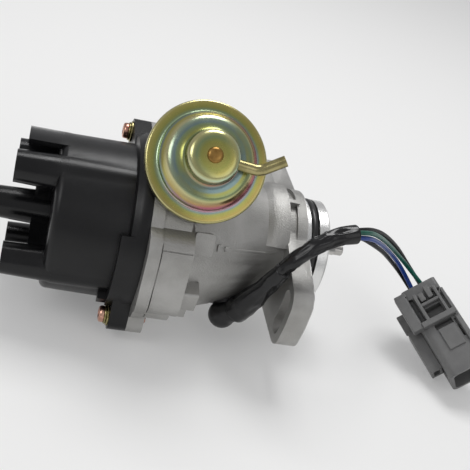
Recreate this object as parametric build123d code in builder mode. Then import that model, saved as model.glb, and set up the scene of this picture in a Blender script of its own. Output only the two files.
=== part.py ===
"""Four-cylinder ignition distributor with a vacuum advance canister, lying on its side.

The shaft axis is the X axis: the drive end points to +X and the cap to -X. X = 0 is the engine-side
face of the mounting flange, where the spigot starts. Z is up. Around the shaft, angles are counted
from +Y towards +Z. All sizes are in millimetres.
"""

import os
from math import atan, cos, degrees, pi, radians, sin, sqrt, tan

from build123d import *

# Clearances
RUNNING = 0.04
SLIP = 0.15
GAP = 0.3

# Shaft and its bearings
SHAFT_R = 6.0
SPINDLE_R = 4.0
BUSH_R = 9.0
BUSH_LENGTH = 12.0
UPPER_BUSH_X = -40.0
LOWER_BUSH_X = -12.0
SEAL_R = 12.0
SEAL_LENGTH = 6.0
WASHER_R = 10.0
WASHER_THICK = 1.5

# Mounting spigot, flange and ears
SPIGOT_R = 26.0
SPIGOT_LENGTH = 13.0
SPIGOT_RECESS_R = 17.0
SPIGOT_RECESS_X = 8.0
FLANGE_R = 29.3
FLANGE_THICK = 5.2
EAR_THICK = 10.0
EAR_ANGLE = 188.0
EAR_R = 49.0
EAR_ROOT_R = 24.0
EAR_HALF_ANGLE = 10.0
EAR_ROUND_R = 8.5
SLOT_HALF_WIDTH = 4.3
SLOT_PITCH_R = 48.5
O_RING_PROUD = 0.2
O_RING_SECTION_R = 2.0
O_RING_X = 5.2

# Housing
JOINT_X = -77.0
JOINT_RIM = 1.5
JOINT_THICK = 5.5
RIM_STEP = 0.8
BOWL_R = 42.5
BOWL_END_X = -57.0
NECK_BIG_R = 39.5
NECK_SMALL_R = 27.5
NECK_END_X = -16.0
COLLAR_R = 31.0
COLLAR_X = -9.5
COLLAR_FOOT_X = -21.5
COLLAR_START = 25.0
COLLAR_END = 151.0
WEB_ANGLE = 102.0
WEB_THICK = 2.4
BOWL_WALL = 4.0
PLATE_SEAT_X = -55.0
PLATE_LEDGE = 2.5
CHAMBER_R = 30.0
CHAMBER_X = -42.5

# Cap
CAP_SETBACK = 0.5
CAP_FLANGE_THICK = 4.0
SKIRT_X = -84.5
SKIRT_R = 41.5
DRUM_R = 37.5
DRUM_FRONT_X = -119.0
DRUM_FRONT_R = 36.8
CAP_INNER_R = 34.5
CAP_INNER_X = -108.5
TOWER_PITCH_R = 29.6
TOWER_ANGLE = 25.3
TOWER_COUNT = 4
TOWER_TIP_X = -137.4
TOWER_TIP_R = 7.4
TOWER_ROOT_R = 8.2
SLEEVE_R = 8.4
GUARD_X = -133.5
GUARD_R = 37.0
GUARD_THICK = 2.6
GUARD_START = 22.0
GUARD_END = 97.0
STEP_BLOCK_R = 42.8
STEP_BLOCK_X = -88.5
STEP_BLOCK_START = 158.0
STEP_BLOCK_END = 218.0
TOWER_BORE_R = 4.3
TOWER_BORE_DEPTH = 17.0
CENTRE_TIP_X = -145.0
CENTRE_ROOT_R = 8.6

# Seal in the cap's rim
SEAL_RING_RIM = 1.5
SEAL_RING_WIDTH = 2.0
SEAL_RING_DEPTH = 1.4

# Cap screws
SCREW_RIM = 2.0
SCREW_ANGLE = 224.0
LUG_R = 6.6
LUG_HEIGHT = 8.5
SCREW_R = 2.4
SCREW_TIP_X = -68.0

# Rotor and terminals
TERMINAL_R = 2.5
TERMINAL_END_X = -98.0
SPARK_GAP = 0.8
ROTOR_TOP_X = -103.0
ROTOR_HUB_R = 9.5
ROTOR_END_X = -84.0
BRUSH_R = 2.4
BRUSH_LENGTH = 8.0
BRUSH_TRAVEL = 1.5

# Advance mechanism
SLEEVE_OUTER_R = 7.0
CAM_PLATE_X = -50.5
CAM_PLATE_THICK = 2.0
ADVANCE_BASE_THICK = 2.0
ADVANCE_BASE_R = 24.0
WEIGHT_THICK = 3.6
WEIGHT_PIVOT_R = 17.5
PIVOT_R = 2.0

# Pick-up
BASE_PLATE_THICK = 1.5
BREAKER_THICK = 1.6
BREAKER_R = 31.0
HUB_R = 11.0
RELUCTOR_R = 14.5
RELUCTOR_X = -70.0
RELUCTOR_THICK = 6.0
LINK_PIN_R = 1.8

# Vacuum canister: its axis is square to the shaft, tilted up from -Y
CANISTER_X = -57.6
CANISTER_TILT = 37.4
CANISTER_OFFSET = 26.0
CANISTER_REACH = 48.0
CANISTER_R = 27.45
SHEET = 1.1
STEP_R = 21.9
SHOULDER_R = 19.6
BOSS_R = 11.8
BOSS_HEIGHT = 16.5
REAR_DEPTH = 9.0
REAR_FLAT_R = 9.5
SHELL_LIP = 2.4
ROD_R = 1.6
BRACKET_THICK = 2.2
BRACKET_LENGTH = 27.0
BRACKET_WIDTH = 14.0
BRACKET_SCREW_PITCH = 20.0
BRACKET_SCREW_R = 1.7
BRACKET_HEAD_R = 3.0
PIPE_R = 2.5
PIPE_BORE_R = 1.5

# Lead and its grommet
GROMMET_X = -30.0
GROMMET_ANGLE = 229.0
GROMMET_FLANGE_R = 7.6
GROMMET_SEAT_R = 30.5
GROMMET_DEPTH = 8.0
GROMMET_STEM_R = 4.6
GROMMET_KNEE_R = 38.0
GROMMET_SPOUT = 9.5
LEAD_SLEEVE_R = 4.5
WIRE_R = 1.15
CONNECTOR_WIDTH = 22.0
CONNECTOR_HEIGHT = 21.0
CONNECTOR_LENGTH = 54.0
CONNECTOR_WALL = 1.8
PIN_PITCH = 6.0


def around(radius, angle):
    """Point in a plane square to the shaft, as its Y and Z."""
    return (radius * cos(radians(angle)), radius * sin(radians(angle)))


def across(x):
    """Sketch plane square to the shaft at x, with local x along +Y and local y along +Z."""
    return Plane.YZ.offset(x)


def save(part, label):
    part.label = label
    export_step(part, f"parts/{label}.step")
    print(f"{label:22s} {part.volume:10.1f} mm3")


os.makedirs("parts", exist_ok=True)

# Canister frame: z along its axis away from the shaft, x along the shaft
tilt = radians(CANISTER_TILT)
canister_axis = Vector(0, -cos(tilt), sin(tilt))
canister_up = Vector(0, sin(tilt), cos(tilt))
canister_foot = Vector(CANISTER_X, 0, 0) + canister_up * CANISTER_OFFSET
canister_rim = canister_foot + canister_axis * CANISTER_REACH


def canister_plane(height):
    """Plane square to the canister's axis, its height counted from the rim outwards."""
    return Plane(origin=canister_rim + canister_axis * height, x_dir=(1, 0, 0), z_dir=canister_axis)


def grommet_plane(radius):
    """Plane square to the grommet's axis at a distance from the shaft."""
    outward = around(1, GROMMET_ANGLE)
    return Plane(origin=(GROMMET_X, *around(radius, GROMMET_ANGLE)), x_dir=(1, 0, 0), z_dir=(0, *outward))


canister_profile = Plane(origin=canister_rim, x_dir=(1, 0, 0), z_dir=canister_up * -1)

# ---------------------------------------------------------------- housing
bowl_inner_r = BOWL_R - BOWL_WALL
plate_seat_r = bowl_inner_r - PLATE_LEDGE
joint_r = BOWL_R + JOINT_RIM
cap_flange_r = joint_r - CAP_SETBACK
screw_pitch_r = joint_r + SCREW_RIM
seal_ring_r = cap_flange_r - SEAL_RING_RIM
bracket_height = -REAR_DEPTH - BRACKET_THICK
screw_sides = (-BRACKET_SCREW_PITCH / 2, BRACKET_SCREW_PITCH / 2)
ear_angles = (EAR_ANGLE, EAR_ANGLE - 180)
slot_lines = [CenterArc((0, 0), SLOT_PITCH_R, a - EAR_HALF_ANGLE, 2 * EAR_HALF_ANGLE) for a in ear_angles]
screw_angles = (SCREW_ANGLE, SCREW_ANGLE - 180)
groove_r = SPIGOT_R + O_RING_PROUD - 2 * O_RING_SECTION_R
screw_points = [around(screw_pitch_r, a) for a in screw_angles]

with BuildPart() as housing:
    with BuildSketch(Plane.XZ):
        with BuildLine():
            Polyline(
                (JOINT_X, 0),
                (JOINT_X, joint_r),
                (JOINT_X + JOINT_THICK, joint_r),
                (JOINT_X + JOINT_THICK, BOWL_R),
                (BOWL_END_X - 1.5, BOWL_R),
                (BOWL_END_X, NECK_BIG_R),
                (NECK_END_X, NECK_SMALL_R),
                (-FLANGE_THICK, NECK_SMALL_R),
                (-FLANGE_THICK, FLANGE_R),
                (0, FLANGE_R),
                (0, SPIGOT_R),
                (SPIGOT_LENGTH - 1, SPIGOT_R),
                (SPIGOT_LENGTH, SPIGOT_R - 1),
                (SPIGOT_LENGTH, 0),
                close=True,
            )
        make_face()
    revolve(axis=Axis.X)
    # collar over the upper half of the neck's small end, with a sloping flank
    with BuildSketch(Plane(origin=(0, 0, 0), x_dir=(1, 0, 0), z_dir=(0, *around(1, COLLAR_START + 90)))):
        with BuildLine():
            Polyline(
                (COLLAR_FOOT_X, 0),
                (COLLAR_FOOT_X, NECK_SMALL_R),
                (NECK_END_X, COLLAR_R),
                (COLLAR_X, COLLAR_R),
                (COLLAR_X, 0),
                close=True,
            )
        make_face()
    revolve(axis=Axis.X, revolution_arc=COLLAR_END - COLLAR_START)
    # short web that ties the collar to the flange
    with BuildSketch(across(COLLAR_X - 1)):
        with Locations(around(COLLAR_R - 4, WEB_ANGLE)):
            Rectangle(2 * (COLLAR_R - NECK_SMALL_R), WEB_THICK, rotation=WEB_ANGLE)
    extrude(amount=-COLLAR_X - FLANGE_THICK + 2)
    # two slotted ears
    for angle, slot_line in zip(ear_angles, slot_lines):
        with BuildSketch(across(-EAR_THICK)):
            Circle(EAR_ROOT_R)
            for turn in (-EAR_HALF_ANGLE, 0, EAR_HALF_ANGLE):
                with Locations(around(EAR_R, angle + turn)):
                    Circle(EAR_ROUND_R)
            make_hull()
        extrude(amount=EAR_THICK)
        with BuildSketch(across(-EAR_THICK)):
            SlotArc(slot_line, 2 * SLOT_HALF_WIDTH)
        extrude(amount=EAR_THICK, mode=Mode.SUBTRACT)
    # raised block beside the bowl, on the front
    with BuildSketch(across(JOINT_X)):
        with Locations(around(39.5, 164), around(40.5, 196)):
            Circle(10)
        Circle(30)
        make_hull()
    extrude(amount=BOWL_END_X - JOINT_X)
    with BuildSketch(across(JOINT_X)):
        with Locations(around(41, 206), around(38, 214)):
            Circle(8)
        Circle(30)
        make_hull()
    extrude(amount=BOWL_END_X - JOINT_X - 3)
    # the joint's rim follows the block
    with BuildSketch(across(JOINT_X)):
        with Locations(around(39.5, 164), around(40.5, 196)):
            Circle(10 + RIM_STEP)
        Circle(30)
        make_hull()
    extrude(amount=JOINT_THICK)
    with BuildSketch(across(JOINT_X)):
        with Locations(around(41, 206), around(38, 214)):
            Circle(8 + RIM_STEP)
        Circle(30)
        make_hull()
    extrude(amount=JOINT_THICK)
    # lugs for the cap screws
    for point in screw_points:
        with BuildSketch(across(JOINT_X)):
            Circle(BOWL_R - 4)
            with Locations(point):
                Circle(LUG_R)
            make_hull()
        extrude(amount=JOINT_THICK + 2)
    # pad for the canister's bracket
    with BuildSketch(canister_plane(bracket_height)):
        RectangleRounded(BRACKET_LENGTH, BRACKET_WIDTH, 3)
    extrude(amount=-18)
    # clearance over the pad, for the bracket and the canister's back
    with BuildSketch(canister_plane(bracket_height)):
        RectangleRounded(BRACKET_LENGTH + 2 * GAP, BRACKET_WIDTH + 2 * GAP, 3)
    extrude(amount=12, mode=Mode.SUBTRACT)
    with BuildSketch(canister_profile):
        with BuildLine():
            Polyline(
                (0, -REAR_DEPTH),
                (REAR_FLAT_R + 1, -REAR_DEPTH),
                (CANISTER_R - 3, -SHELL_LIP - 1),
                (CANISTER_R + 1, -SHELL_LIP - 1),
                (CANISTER_R + 1, BOSS_HEIGHT),
                (0, BOSS_HEIGHT),
                close=True,
            )
        make_face()
    revolve(axis=Axis(canister_rim, canister_axis), mode=Mode.SUBTRACT)
    # small cast pad on the neck beside the block
    pad_plane = Plane(origin=(-51.5, *around(32, 156)), x_dir=(1, 0, 0), z_dir=(0, *around(1, 156)))
    with BuildSketch(pad_plane):
        RectangleRounded(9, 10, 1.2)
    extrude(amount=8.5)
    # spot face for the lead's grommet
    with BuildSketch(grommet_plane(GROMMET_SEAT_R)):
        Circle(GROMMET_FLANGE_R + GAP)
    extrude(amount=10, mode=Mode.SUBTRACT)
    # bowl, advance chamber and bore
    with BuildSketch(across(JOINT_X)):
        Circle(bowl_inner_r)
    extrude(amount=PLATE_SEAT_X - BASE_PLATE_THICK - JOINT_X, mode=Mode.SUBTRACT)
    with BuildSketch(across(PLATE_SEAT_X - BASE_PLATE_THICK)):
        Circle(plate_seat_r)
    extrude(amount=BASE_PLATE_THICK, mode=Mode.SUBTRACT)
    with BuildSketch(across(PLATE_SEAT_X)):
        Circle(CHAMBER_R)
    extrude(amount=CHAMBER_X - PLATE_SEAT_X, mode=Mode.SUBTRACT)
    with BuildSketch(across(CHAMBER_X)):
        Circle(BUSH_R)
    extrude(amount=LOWER_BUSH_X + BUSH_LENGTH - CHAMBER_X, mode=Mode.SUBTRACT)
    with BuildSketch(across(LOWER_BUSH_X + BUSH_LENGTH)):
        Circle(SEAL_R)
    extrude(amount=SPIGOT_LENGTH, mode=Mode.SUBTRACT)
    with BuildSketch(across(SPIGOT_RECESS_X)):
        Circle(SPIGOT_RECESS_R)
    extrude(amount=SPIGOT_LENGTH, mode=Mode.SUBTRACT)
    # groove for the O-ring
    with BuildSketch(across(O_RING_X - O_RING_SECTION_R - 0.2)):
        Circle(SPIGOT_R + 1)
        Circle(groove_r, mode=Mode.SUBTRACT)
    extrude(amount=2 * O_RING_SECTION_R + 0.4, mode=Mode.SUBTRACT)
    # threaded holes for the cap screws
    with BuildSketch(across(JOINT_X - 1)):
        with Locations(*screw_points):
            Circle(SCREW_R)
    extrude(amount=JOINT_THICK + 6, mode=Mode.SUBTRACT)
    # port for the canister's rod and holes for its screws
    with BuildSketch(canister_plane(bracket_height)):
        SlotCenterToCenter(4, 9)
        with GridLocations(BRACKET_SCREW_PITCH, 1, 2, 1):
            Circle(BRACKET_SCREW_R)
    extrude(amount=-20, mode=Mode.SUBTRACT)
    # hole for the lead's grommet
    with BuildSketch(grommet_plane(GROMMET_SEAT_R)):
        Circle(GROMMET_STEM_R)
    extrude(amount=-GROMMET_DEPTH, mode=Mode.SUBTRACT)
save(housing.part, "housing")

# ---------------------------------------------------------------- spigot seal
with BuildPart() as spigot_o_ring:
    with BuildSketch(Plane.XZ):
        with Locations((O_RING_X, groove_r + O_RING_SECTION_R)):
            Circle(O_RING_SECTION_R)
    revolve(axis=Axis.X)
save(spigot_o_ring.part, "spigot_o_ring")

# ---------------------------------------------------------------- shaft bearings
with BuildPart() as shaft_bushes:
    for start in (UPPER_BUSH_X, LOWER_BUSH_X):
        with BuildSketch(across(start)):
            Circle(BUSH_R)
            Circle(SHAFT_R + RUNNING, mode=Mode.SUBTRACT)
        extrude(amount=BUSH_LENGTH)
save(shaft_bushes.part, "shaft_bushes")

seal_x = LOWER_BUSH_X + BUSH_LENGTH
with BuildPart() as shaft_oil_seal:
    with BuildSketch(across(seal_x)):
        Circle(SEAL_R)
        Circle(SHAFT_R + SLIP, mode=Mode.SUBTRACT)
    extrude(amount=SEAL_LENGTH)
    with BuildSketch(across(seal_x + SEAL_LENGTH)):
        Circle(SEAL_R - 2)
        Circle(SHAFT_R + 1.5, mode=Mode.SUBTRACT)
    extrude(amount=-SEAL_LENGTH + 1.5, mode=Mode.SUBTRACT)
save(shaft_oil_seal.part, "shaft_oil_seal")

# ---------------------------------------------------------------- drive shaft
base_x = CHAMBER_X - GAP - WASHER_THICK - ADVANCE_BASE_THICK
coupling_x = SPIGOT_RECESS_X + 2
COUPLING_R = 13.0
COUPLING_THICK = 7.5
COUPLING_HUB_R = 10.0
shaft_end_x = coupling_x + COUPLING_THICK
PEG_R = 2.9
PEG_OFFSET = 3.4
PEG_LENGTH = 11.0
with BuildPart() as drive_shaft:
    with BuildSketch(across(base_x)):
        Circle(SHAFT_R)
    extrude(amount=shaft_end_x - base_x)
    with BuildSketch(across(base_x)):
        Circle(SPINDLE_R)
    extrude(amount=ROTOR_END_X - 4 - base_x)
    with BuildSketch(Plane.XY.offset(-SHAFT_R - 1)):
        with Locations((coupling_x + COUPLING_THICK / 2, 0)):
            Circle(1.5)
    extrude(amount=2 * SHAFT_R + 2, mode=Mode.SUBTRACT)
save(drive_shaft.part, "drive_shaft")

with BuildPart() as thrust_washer:
    with BuildSketch(across(CHAMBER_X - WASHER_THICK)):
        Circle(WASHER_R)
        Circle(SHAFT_R + SLIP, mode=Mode.SUBTRACT)
    extrude(amount=WASHER_THICK)
save(thrust_washer.part, "thrust_washer")

# coupling: hub, two driving lobes and the offset peg
with BuildPart() as drive_coupling:
    with BuildSketch(across(coupling_x)):
        Circle(COUPLING_R)
    extrude(amount=COUPLING_THICK)
    chamfer(drive_coupling.edges().filter_by(GeomType.CIRCLE).group_by(Axis.X)[-1], 1)
    with BuildSketch(across(coupling_x + COUPLING_THICK)):
        Circle(COUPLING_R - 1.5)
        Circle(COUPLING_HUB_R - 2, mode=Mode.SUBTRACT)
        with Locations((0, 0)):
            Rectangle(7, 2 * COUPLING_R, rotation=35, mode=Mode.INTERSECT)
    extrude(amount=4)
    with BuildSketch(across(coupling_x + COUPLING_THICK)):
        with Locations((0, PEG_OFFSET)):
            Circle(PEG_R)
    extrude(amount=PEG_LENGTH)
    chamfer(drive_coupling.edges().filter_by(GeomType.CIRCLE).group_by(Axis.X)[-1], 0.5)
    with BuildSketch(across(coupling_x)):
        Circle(SHAFT_R)
    extrude(amount=COUPLING_THICK, mode=Mode.SUBTRACT)
    with BuildSketch(Plane.XY.offset(-COUPLING_R - 1)):
        with Locations((coupling_x + COUPLING_THICK / 2, 0)):
            Circle(1.5)
    extrude(amount=2 * COUPLING_R + 2, mode=Mode.SUBTRACT)
save(drive_coupling.part, "drive_coupling")

with BuildPart() as coupling_pin:
    with BuildSketch(Plane.XY.offset(-COUPLING_R + 0.5)):
        with Locations((coupling_x + COUPLING_THICK / 2, 0)):
            Circle(1.5)
    extrude(amount=2 * COUPLING_R - 1)
save(coupling_pin.part, "coupling_pin")

# ---------------------------------------------------------------- centrifugal advance
pivot_angles = (60, 240)
with BuildPart() as advance_base:
    with BuildSketch(across(base_x)):
        Circle(ADVANCE_BASE_R)
        for side in (0, 180):
            with Locations(around(ADVANCE_BASE_R + 3, side + 150)):
                Circle(9, mode=Mode.SUBTRACT)
        Circle(SHAFT_R, mode=Mode.SUBTRACT)
    extrude(amount=ADVANCE_BASE_THICK)
    with BuildSketch(across(base_x)):
        with Locations(*[around(WEIGHT_PIVOT_R, a) for a in pivot_angles]):
            Circle(PIVOT_R)
    extrude(amount=-WEIGHT_THICK - 2 * GAP)
save(advance_base.part, "advance_base")

weight_x = base_x - GAP - WEIGHT_THICK
for index, pivot_angle in enumerate(pivot_angles):
    with BuildPart() as weight:
        with BuildSketch(across(weight_x)):
            with BuildLine():
                outer = CenterArc((0, 0), ADVANCE_BASE_R - 1.0, pivot_angle - 18, 104)
                inner = CenterArc((0, 0), 12.6, pivot_angle - 18, 104)
                Line(outer @ 0, inner @ 0)
                Line(outer @ 1, inner @ 1)
            make_face()
            with Locations(around(WEIGHT_PIVOT_R, pivot_angle)):
                Circle(PIVOT_R + RUNNING, mode=Mode.SUBTRACT)
        extrude(amount=WEIGHT_THICK)
    save(weight.part, f"advance_weight_{'ab'[index]}")

# sleeve that carries the reluctor and the rotor, with its cam plate
cam_end_x = base_x - GAP
with BuildPart() as cam_sleeve:
    with BuildSketch(across(cam_end_x)):
        Ellipse(11.4, 8.5)
    extrude(amount=-WEIGHT_THICK - GAP)
    with BuildSketch(across(weight_x - GAP)):
        Circle(16)
        with Locations(*[around(WEIGHT_PIVOT_R, a) for a in pivot_angles]):
            Circle(PIVOT_R + 4, mode=Mode.SUBTRACT)
    extrude(amount=-CAM_PLATE_THICK)
    with BuildSketch(across(weight_x - GAP)):
        Circle(SLEEVE_OUTER_R)
    extrude(amount=ROTOR_END_X - (weight_x - GAP))
    with BuildSketch(across(ROTOR_END_X)):
        Circle(SLEEVE_OUTER_R - 1)
        with Locations((0, -SLEEVE_OUTER_R)):
            Rectangle(16, 3.2, mode=Mode.SUBTRACT)
    extrude(amount=-7)
    with BuildSketch(across(cam_end_x + 1)):
        Circle(SPINDLE_R + RUNNING)
    extrude(amount=-70, mode=Mode.SUBTRACT)
save(cam_sleeve.part, "cam_sleeve")

# ---------------------------------------------------------------- pick-up
with BuildPart() as base_plate:
    with BuildSketch(across(PLATE_SEAT_X)):
        Circle(plate_seat_r)
        Circle(HUB_R - 2, mode=Mode.SUBTRACT)
    extrude(amount=-BASE_PLATE_THICK)
    with BuildSketch(across(PLATE_SEAT_X - BASE_PLATE_THICK)):
        Circle(HUB_R - RUNNING)
        Circle(HUB_R - 2, mode=Mode.SUBTRACT)
    extrude(amount=-BREAKER_THICK - GAP)
    with BuildSketch(across(PLATE_SEAT_X)):
        with Locations(*[around(plate_seat_r - 3, a) for a in (20, 260)]):
            Circle(1.5)
    extrude(amount=-BASE_PLATE_THICK, mode=Mode.SUBTRACT)
save(base_plate.part, "base_plate")

with BuildPart() as plate_screws:
    with BuildSketch(across(PLATE_SEAT_X)):
        with Locations(*[around(plate_seat_r - 3, a) for a in (20, 260)]):
            Circle(1.5)
    extrude(amount=-BASE_PLATE_THICK)
    with BuildSketch(across(PLATE_SEAT_X - BASE_PLATE_THICK)):
        with Locations(*[around(plate_seat_r - 3, a) for a in (20, 260)]):
            Circle(2.6)
    extrude(amount=-1.6)
save(plate_screws.part, "plate_screws")

breaker_x = PLATE_SEAT_X - BASE_PLATE_THICK - GAP
pin_angle = 180 - CANISTER_TILT - 90
link_x = breaker_x - BREAKER_THICK - GAP
LINK_THICK = 1.5
with BuildPart() as breaker_plate:
    with BuildSketch(across(breaker_x)):
        Circle(BREAKER_R)
        Circle(HUB_R, mode=Mode.SUBTRACT)
        for angle in (20, 260):
            with Locations(around(plate_seat_r - 1, angle)):
                Circle(9, mode=Mode.SUBTRACT)
    extrude(amount=-BREAKER_THICK)
save(breaker_plate.part, "breaker_plate")

with BuildPart() as link_pin:
    with BuildSketch(across(breaker_x - BREAKER_THICK)):
        with Locations(around(CANISTER_OFFSET, pin_angle)):
            Circle(LINK_PIN_R)
    extrude(amount=-LINK_THICK - 2 * GAP)
    with BuildSketch(across(link_x - LINK_THICK - GAP)):
        with Locations(around(CANISTER_OFFSET, pin_angle)):
            Circle(LINK_PIN_R + 1.2)
    extrude(amount=-0.8)
save(link_pin.part, "link_pin")

pole_x = RELUCTOR_X + RELUCTOR_THICK
with BuildPart() as stator_ring:
    with BuildSketch(across(breaker_x - BREAKER_THICK)):
        Circle(23.5)
        Circle(18.5, mode=Mode.SUBTRACT)
        with Locations(around(24, pin_angle)):
            Circle(11, mode=Mode.SUBTRACT)
    extrude(amount=-6.0)
    with BuildSketch(across(breaker_x - BREAKER_THICK - 6.0)):
        with Locations(*[around(19, a + 7) for a in (135, 225, 315)]):
            Circle(3.4)
    extrude(amount=RELUCTOR_X - (breaker_x - BREAKER_THICK - 6.0))
save(stator_ring.part, "stator_ring")

with BuildPart() as pickup_coil:
    with BuildSketch(across(breaker_x - BREAKER_THICK - 6.0 - 0.1)):
        Circle(23)
        Circle(17.5, mode=Mode.SUBTRACT)
        with BuildLine():
            keep = CenterArc((0, 0), 25, 155, 62)
            Line(keep @ 1, (0, 0))
            Line((0, 0), keep @ 0)
        make_face(mode=Mode.INTERSECT)
    extrude(amount=RELUCTOR_X - (breaker_x - BREAKER_THICK - 6.0 - 0.1))
save(pickup_coil.part, "pickup_coil")

with BuildPart() as reluctor:
    with BuildSketch(across(RELUCTOR_X)):
        Circle(11)
        with PolarLocations(RELUCTOR_R - 2, TOWER_COUNT):
            Rectangle(4, 3)
        Circle(SLEEVE_OUTER_R, mode=Mode.SUBTRACT)
    extrude(amount=RELUCTOR_THICK)
save(reluctor.part, "reluctor")

with BuildPart() as ignition_unit:
    with BuildSketch(across(breaker_x - BREAKER_THICK)):
        with Locations(around(27.0, 305)):
            RectangleRounded(6, 18, 1.5, rotation=305)
    extrude(amount=-12)
save(ignition_unit.part, "ignition_unit")

# ---------------------------------------------------------------- dust cover
COVER_THICK = 1.2
with BuildPart() as dust_cover:
    with BuildSketch(across(JOINT_X)):
        Circle(bowl_inner_r)
        Circle(SLEEVE_OUTER_R + 5, mode=Mode.SUBTRACT)
    extrude(amount=COVER_THICK)
    with BuildSketch(across(JOINT_X)):
        Circle(SLEEVE_OUTER_R + 6.2)
        Circle(SLEEVE_OUTER_R + 5, mode=Mode.SUBTRACT)
    extrude(amount=-3)
save(dust_cover.part, "dust_cover")

# ---------------------------------------------------------------- cap
tower_angles = [TOWER_ANGLE + 360 / TOWER_COUNT * n for n in range(TOWER_COUNT)]
tower_points = [around(TOWER_PITCH_R, a) for a in tower_angles]
BOSS_TERMINAL_R = 4.6
bore_end_x = TOWER_TIP_X + TOWER_BORE_DEPTH
centre_bore_end_x = CENTRE_TIP_X + TOWER_BORE_DEPTH
with BuildPart() as distributor_cap:
    with BuildSketch(Plane.XZ):
        with BuildLine():
            Polyline(
                (JOINT_X, 0),
                (JOINT_X, cap_flange_r),
                (JOINT_X - CAP_FLANGE_THICK, cap_flange_r),
                (SKIRT_X, SKIRT_R),
                (SKIRT_X - 0.6, DRUM_R),
                (DRUM_FRONT_X, DRUM_FRONT_R),
                (DRUM_FRONT_X, 0),
                close=True,
            )
        make_face()
    revolve(axis=Axis.X)
    fillet(distributor_cap.edges().filter_by(GeomType.CIRCLE).group_by(Axis.X)[0], 3.5)
    # ridges that carry the towers along the drum
    with BuildSketch(across(DRUM_FRONT_X + 4)):
        with Locations(*tower_points):
            Circle(SLEEVE_R)
    extrude(amount=SKIRT_X - DRUM_FRONT_X - 4)
    # guard wall between the two upper towers
    with BuildSketch(across(DRUM_FRONT_X + 4)):
        with BuildLine():
            guard = CenterArc((0, 0), GUARD_R, GUARD_START, GUARD_END - GUARD_START)
            Line(guard @ 1, (0, 0))
            Line((0, 0), guard @ 0)
        make_face()
        Circle(GUARD_R - GUARD_THICK, mode=Mode.SUBTRACT)
    extrude(amount=GUARD_X - DRUM_FRONT_X - 4)
    # deeper part of the rim low on the front, with a locating tab under it
    with BuildSketch(across(JOINT_X)):
        with BuildLine():
            block = CenterArc((0, 0), STEP_BLOCK_R, STEP_BLOCK_START, STEP_BLOCK_END - STEP_BLOCK_START)
            Line(block @ 1, (0, 0))
            Line((0, 0), block @ 0)
        make_face()
    extrude(amount=STEP_BLOCK_X - JOINT_X)
    with BuildSketch(across(STEP_BLOCK_X)):
        with Locations(around(DRUM_R + 1, STEP_BLOCK_END - 3)):
            Rectangle(6, 5, rotation=STEP_BLOCK_END - 3)
    extrude(amount=-4)
    for point, tip_x, root_r in [(p, TOWER_TIP_X, TOWER_ROOT_R) for p in tower_points] + [
        ((0, 0), CENTRE_TIP_X, CENTRE_ROOT_R)
    ]:
        with BuildSketch(across(DRUM_FRONT_X + 4)):
            with Locations(point):
                Circle(root_r)
        with BuildSketch(across(tip_x)):
            with Locations(point):
                Circle(TOWER_TIP_R)
        loft()
    # low walls that tie the centre tower to the others
    with BuildSketch(across(DRUM_FRONT_X - 8)):
        for angle in tower_angles:
            with Locations(around(TOWER_PITCH_R / 2, angle)):
                Rectangle(TOWER_PITCH_R, 2.2, rotation=angle)
    extrude(amount=10)
    # screw lugs
    for point in screw_points:
        with BuildSketch(across(JOINT_X)):
            Circle(CAP_INNER_R)
            with Locations(point):
                Circle(LUG_R)
            make_hull()
        extrude(amount=-LUG_HEIGHT)
    # inside of the cap
    with BuildSketch(Plane.XZ):
        with BuildLine():
            Polyline(
                (JOINT_X + 1, 0),
                (JOINT_X + 1, CAP_INNER_R),
                (CAP_INNER_X, CAP_INNER_R - 1),
                (CAP_INNER_X, 0),
                close=True,
            )
        make_face()
    revolve(axis=Axis.X, mode=Mode.SUBTRACT)
    # bosses round the terminals inside, and round the brush
    with BuildSketch(across(CAP_INNER_X - 1)):
        with Locations(*tower_points):
            Circle(BOSS_TERMINAL_R)
        Circle(BRUSH_R + 2.2)
    extrude(amount=5)
    # bores of the towers
    with BuildSketch(across(TOWER_TIP_X - 1)):
        with Locations(*tower_points):
            Circle(TOWER_BORE_R)
    extrude(amount=TOWER_BORE_DEPTH + 1, mode=Mode.SUBTRACT)
    with BuildSketch(across(CENTRE_TIP_X - 1)):
        Circle(TOWER_BORE_R)
    extrude(amount=TOWER_BORE_DEPTH + 1, mode=Mode.SUBTRACT)
    with BuildSketch(across(bore_end_x)):
        with Locations(*tower_points):
            Circle(TERMINAL_R)
    extrude(amount=TERMINAL_END_X - bore_end_x, mode=Mode.SUBTRACT)
    with BuildSketch(across(centre_bore_end_x)):
        Circle(BRUSH_R + SLIP)
    extrude(amount=CAP_INNER_X + 5 - centre_bore_end_x, mode=Mode.SUBTRACT)
    # holes for the cap screws
    with BuildSketch(across(JOINT_X + 1)):
        with Locations(*screw_points):
            Circle(SCREW_R + SLIP)
    extrude(amount=-LUG_HEIGHT - 2, mode=Mode.SUBTRACT)
    # groove for the seal
    with BuildSketch(across(JOINT_X)):
        Circle(seal_ring_r)
        Circle(seal_ring_r - SEAL_RING_WIDTH, mode=Mode.SUBTRACT)
    extrude(amount=-SEAL_RING_DEPTH, mode=Mode.SUBTRACT)
save(distributor_cap.part, "distributor_cap")

with BuildPart() as cap_seal:
    with BuildSketch(across(JOINT_X)):
        Circle(seal_ring_r)
        Circle(seal_ring_r - SEAL_RING_WIDTH, mode=Mode.SUBTRACT)
    extrude(amount=-SEAL_RING_DEPTH)
save(cap_seal.part, "cap_seal")

with BuildPart() as cap_terminals:
    with BuildSketch(across(bore_end_x)):
        with Locations(*tower_points):
            Circle(TERMINAL_R)
    extrude(amount=TERMINAL_END_X - bore_end_x)
save(cap_terminals.part, "cap_terminals")

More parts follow.
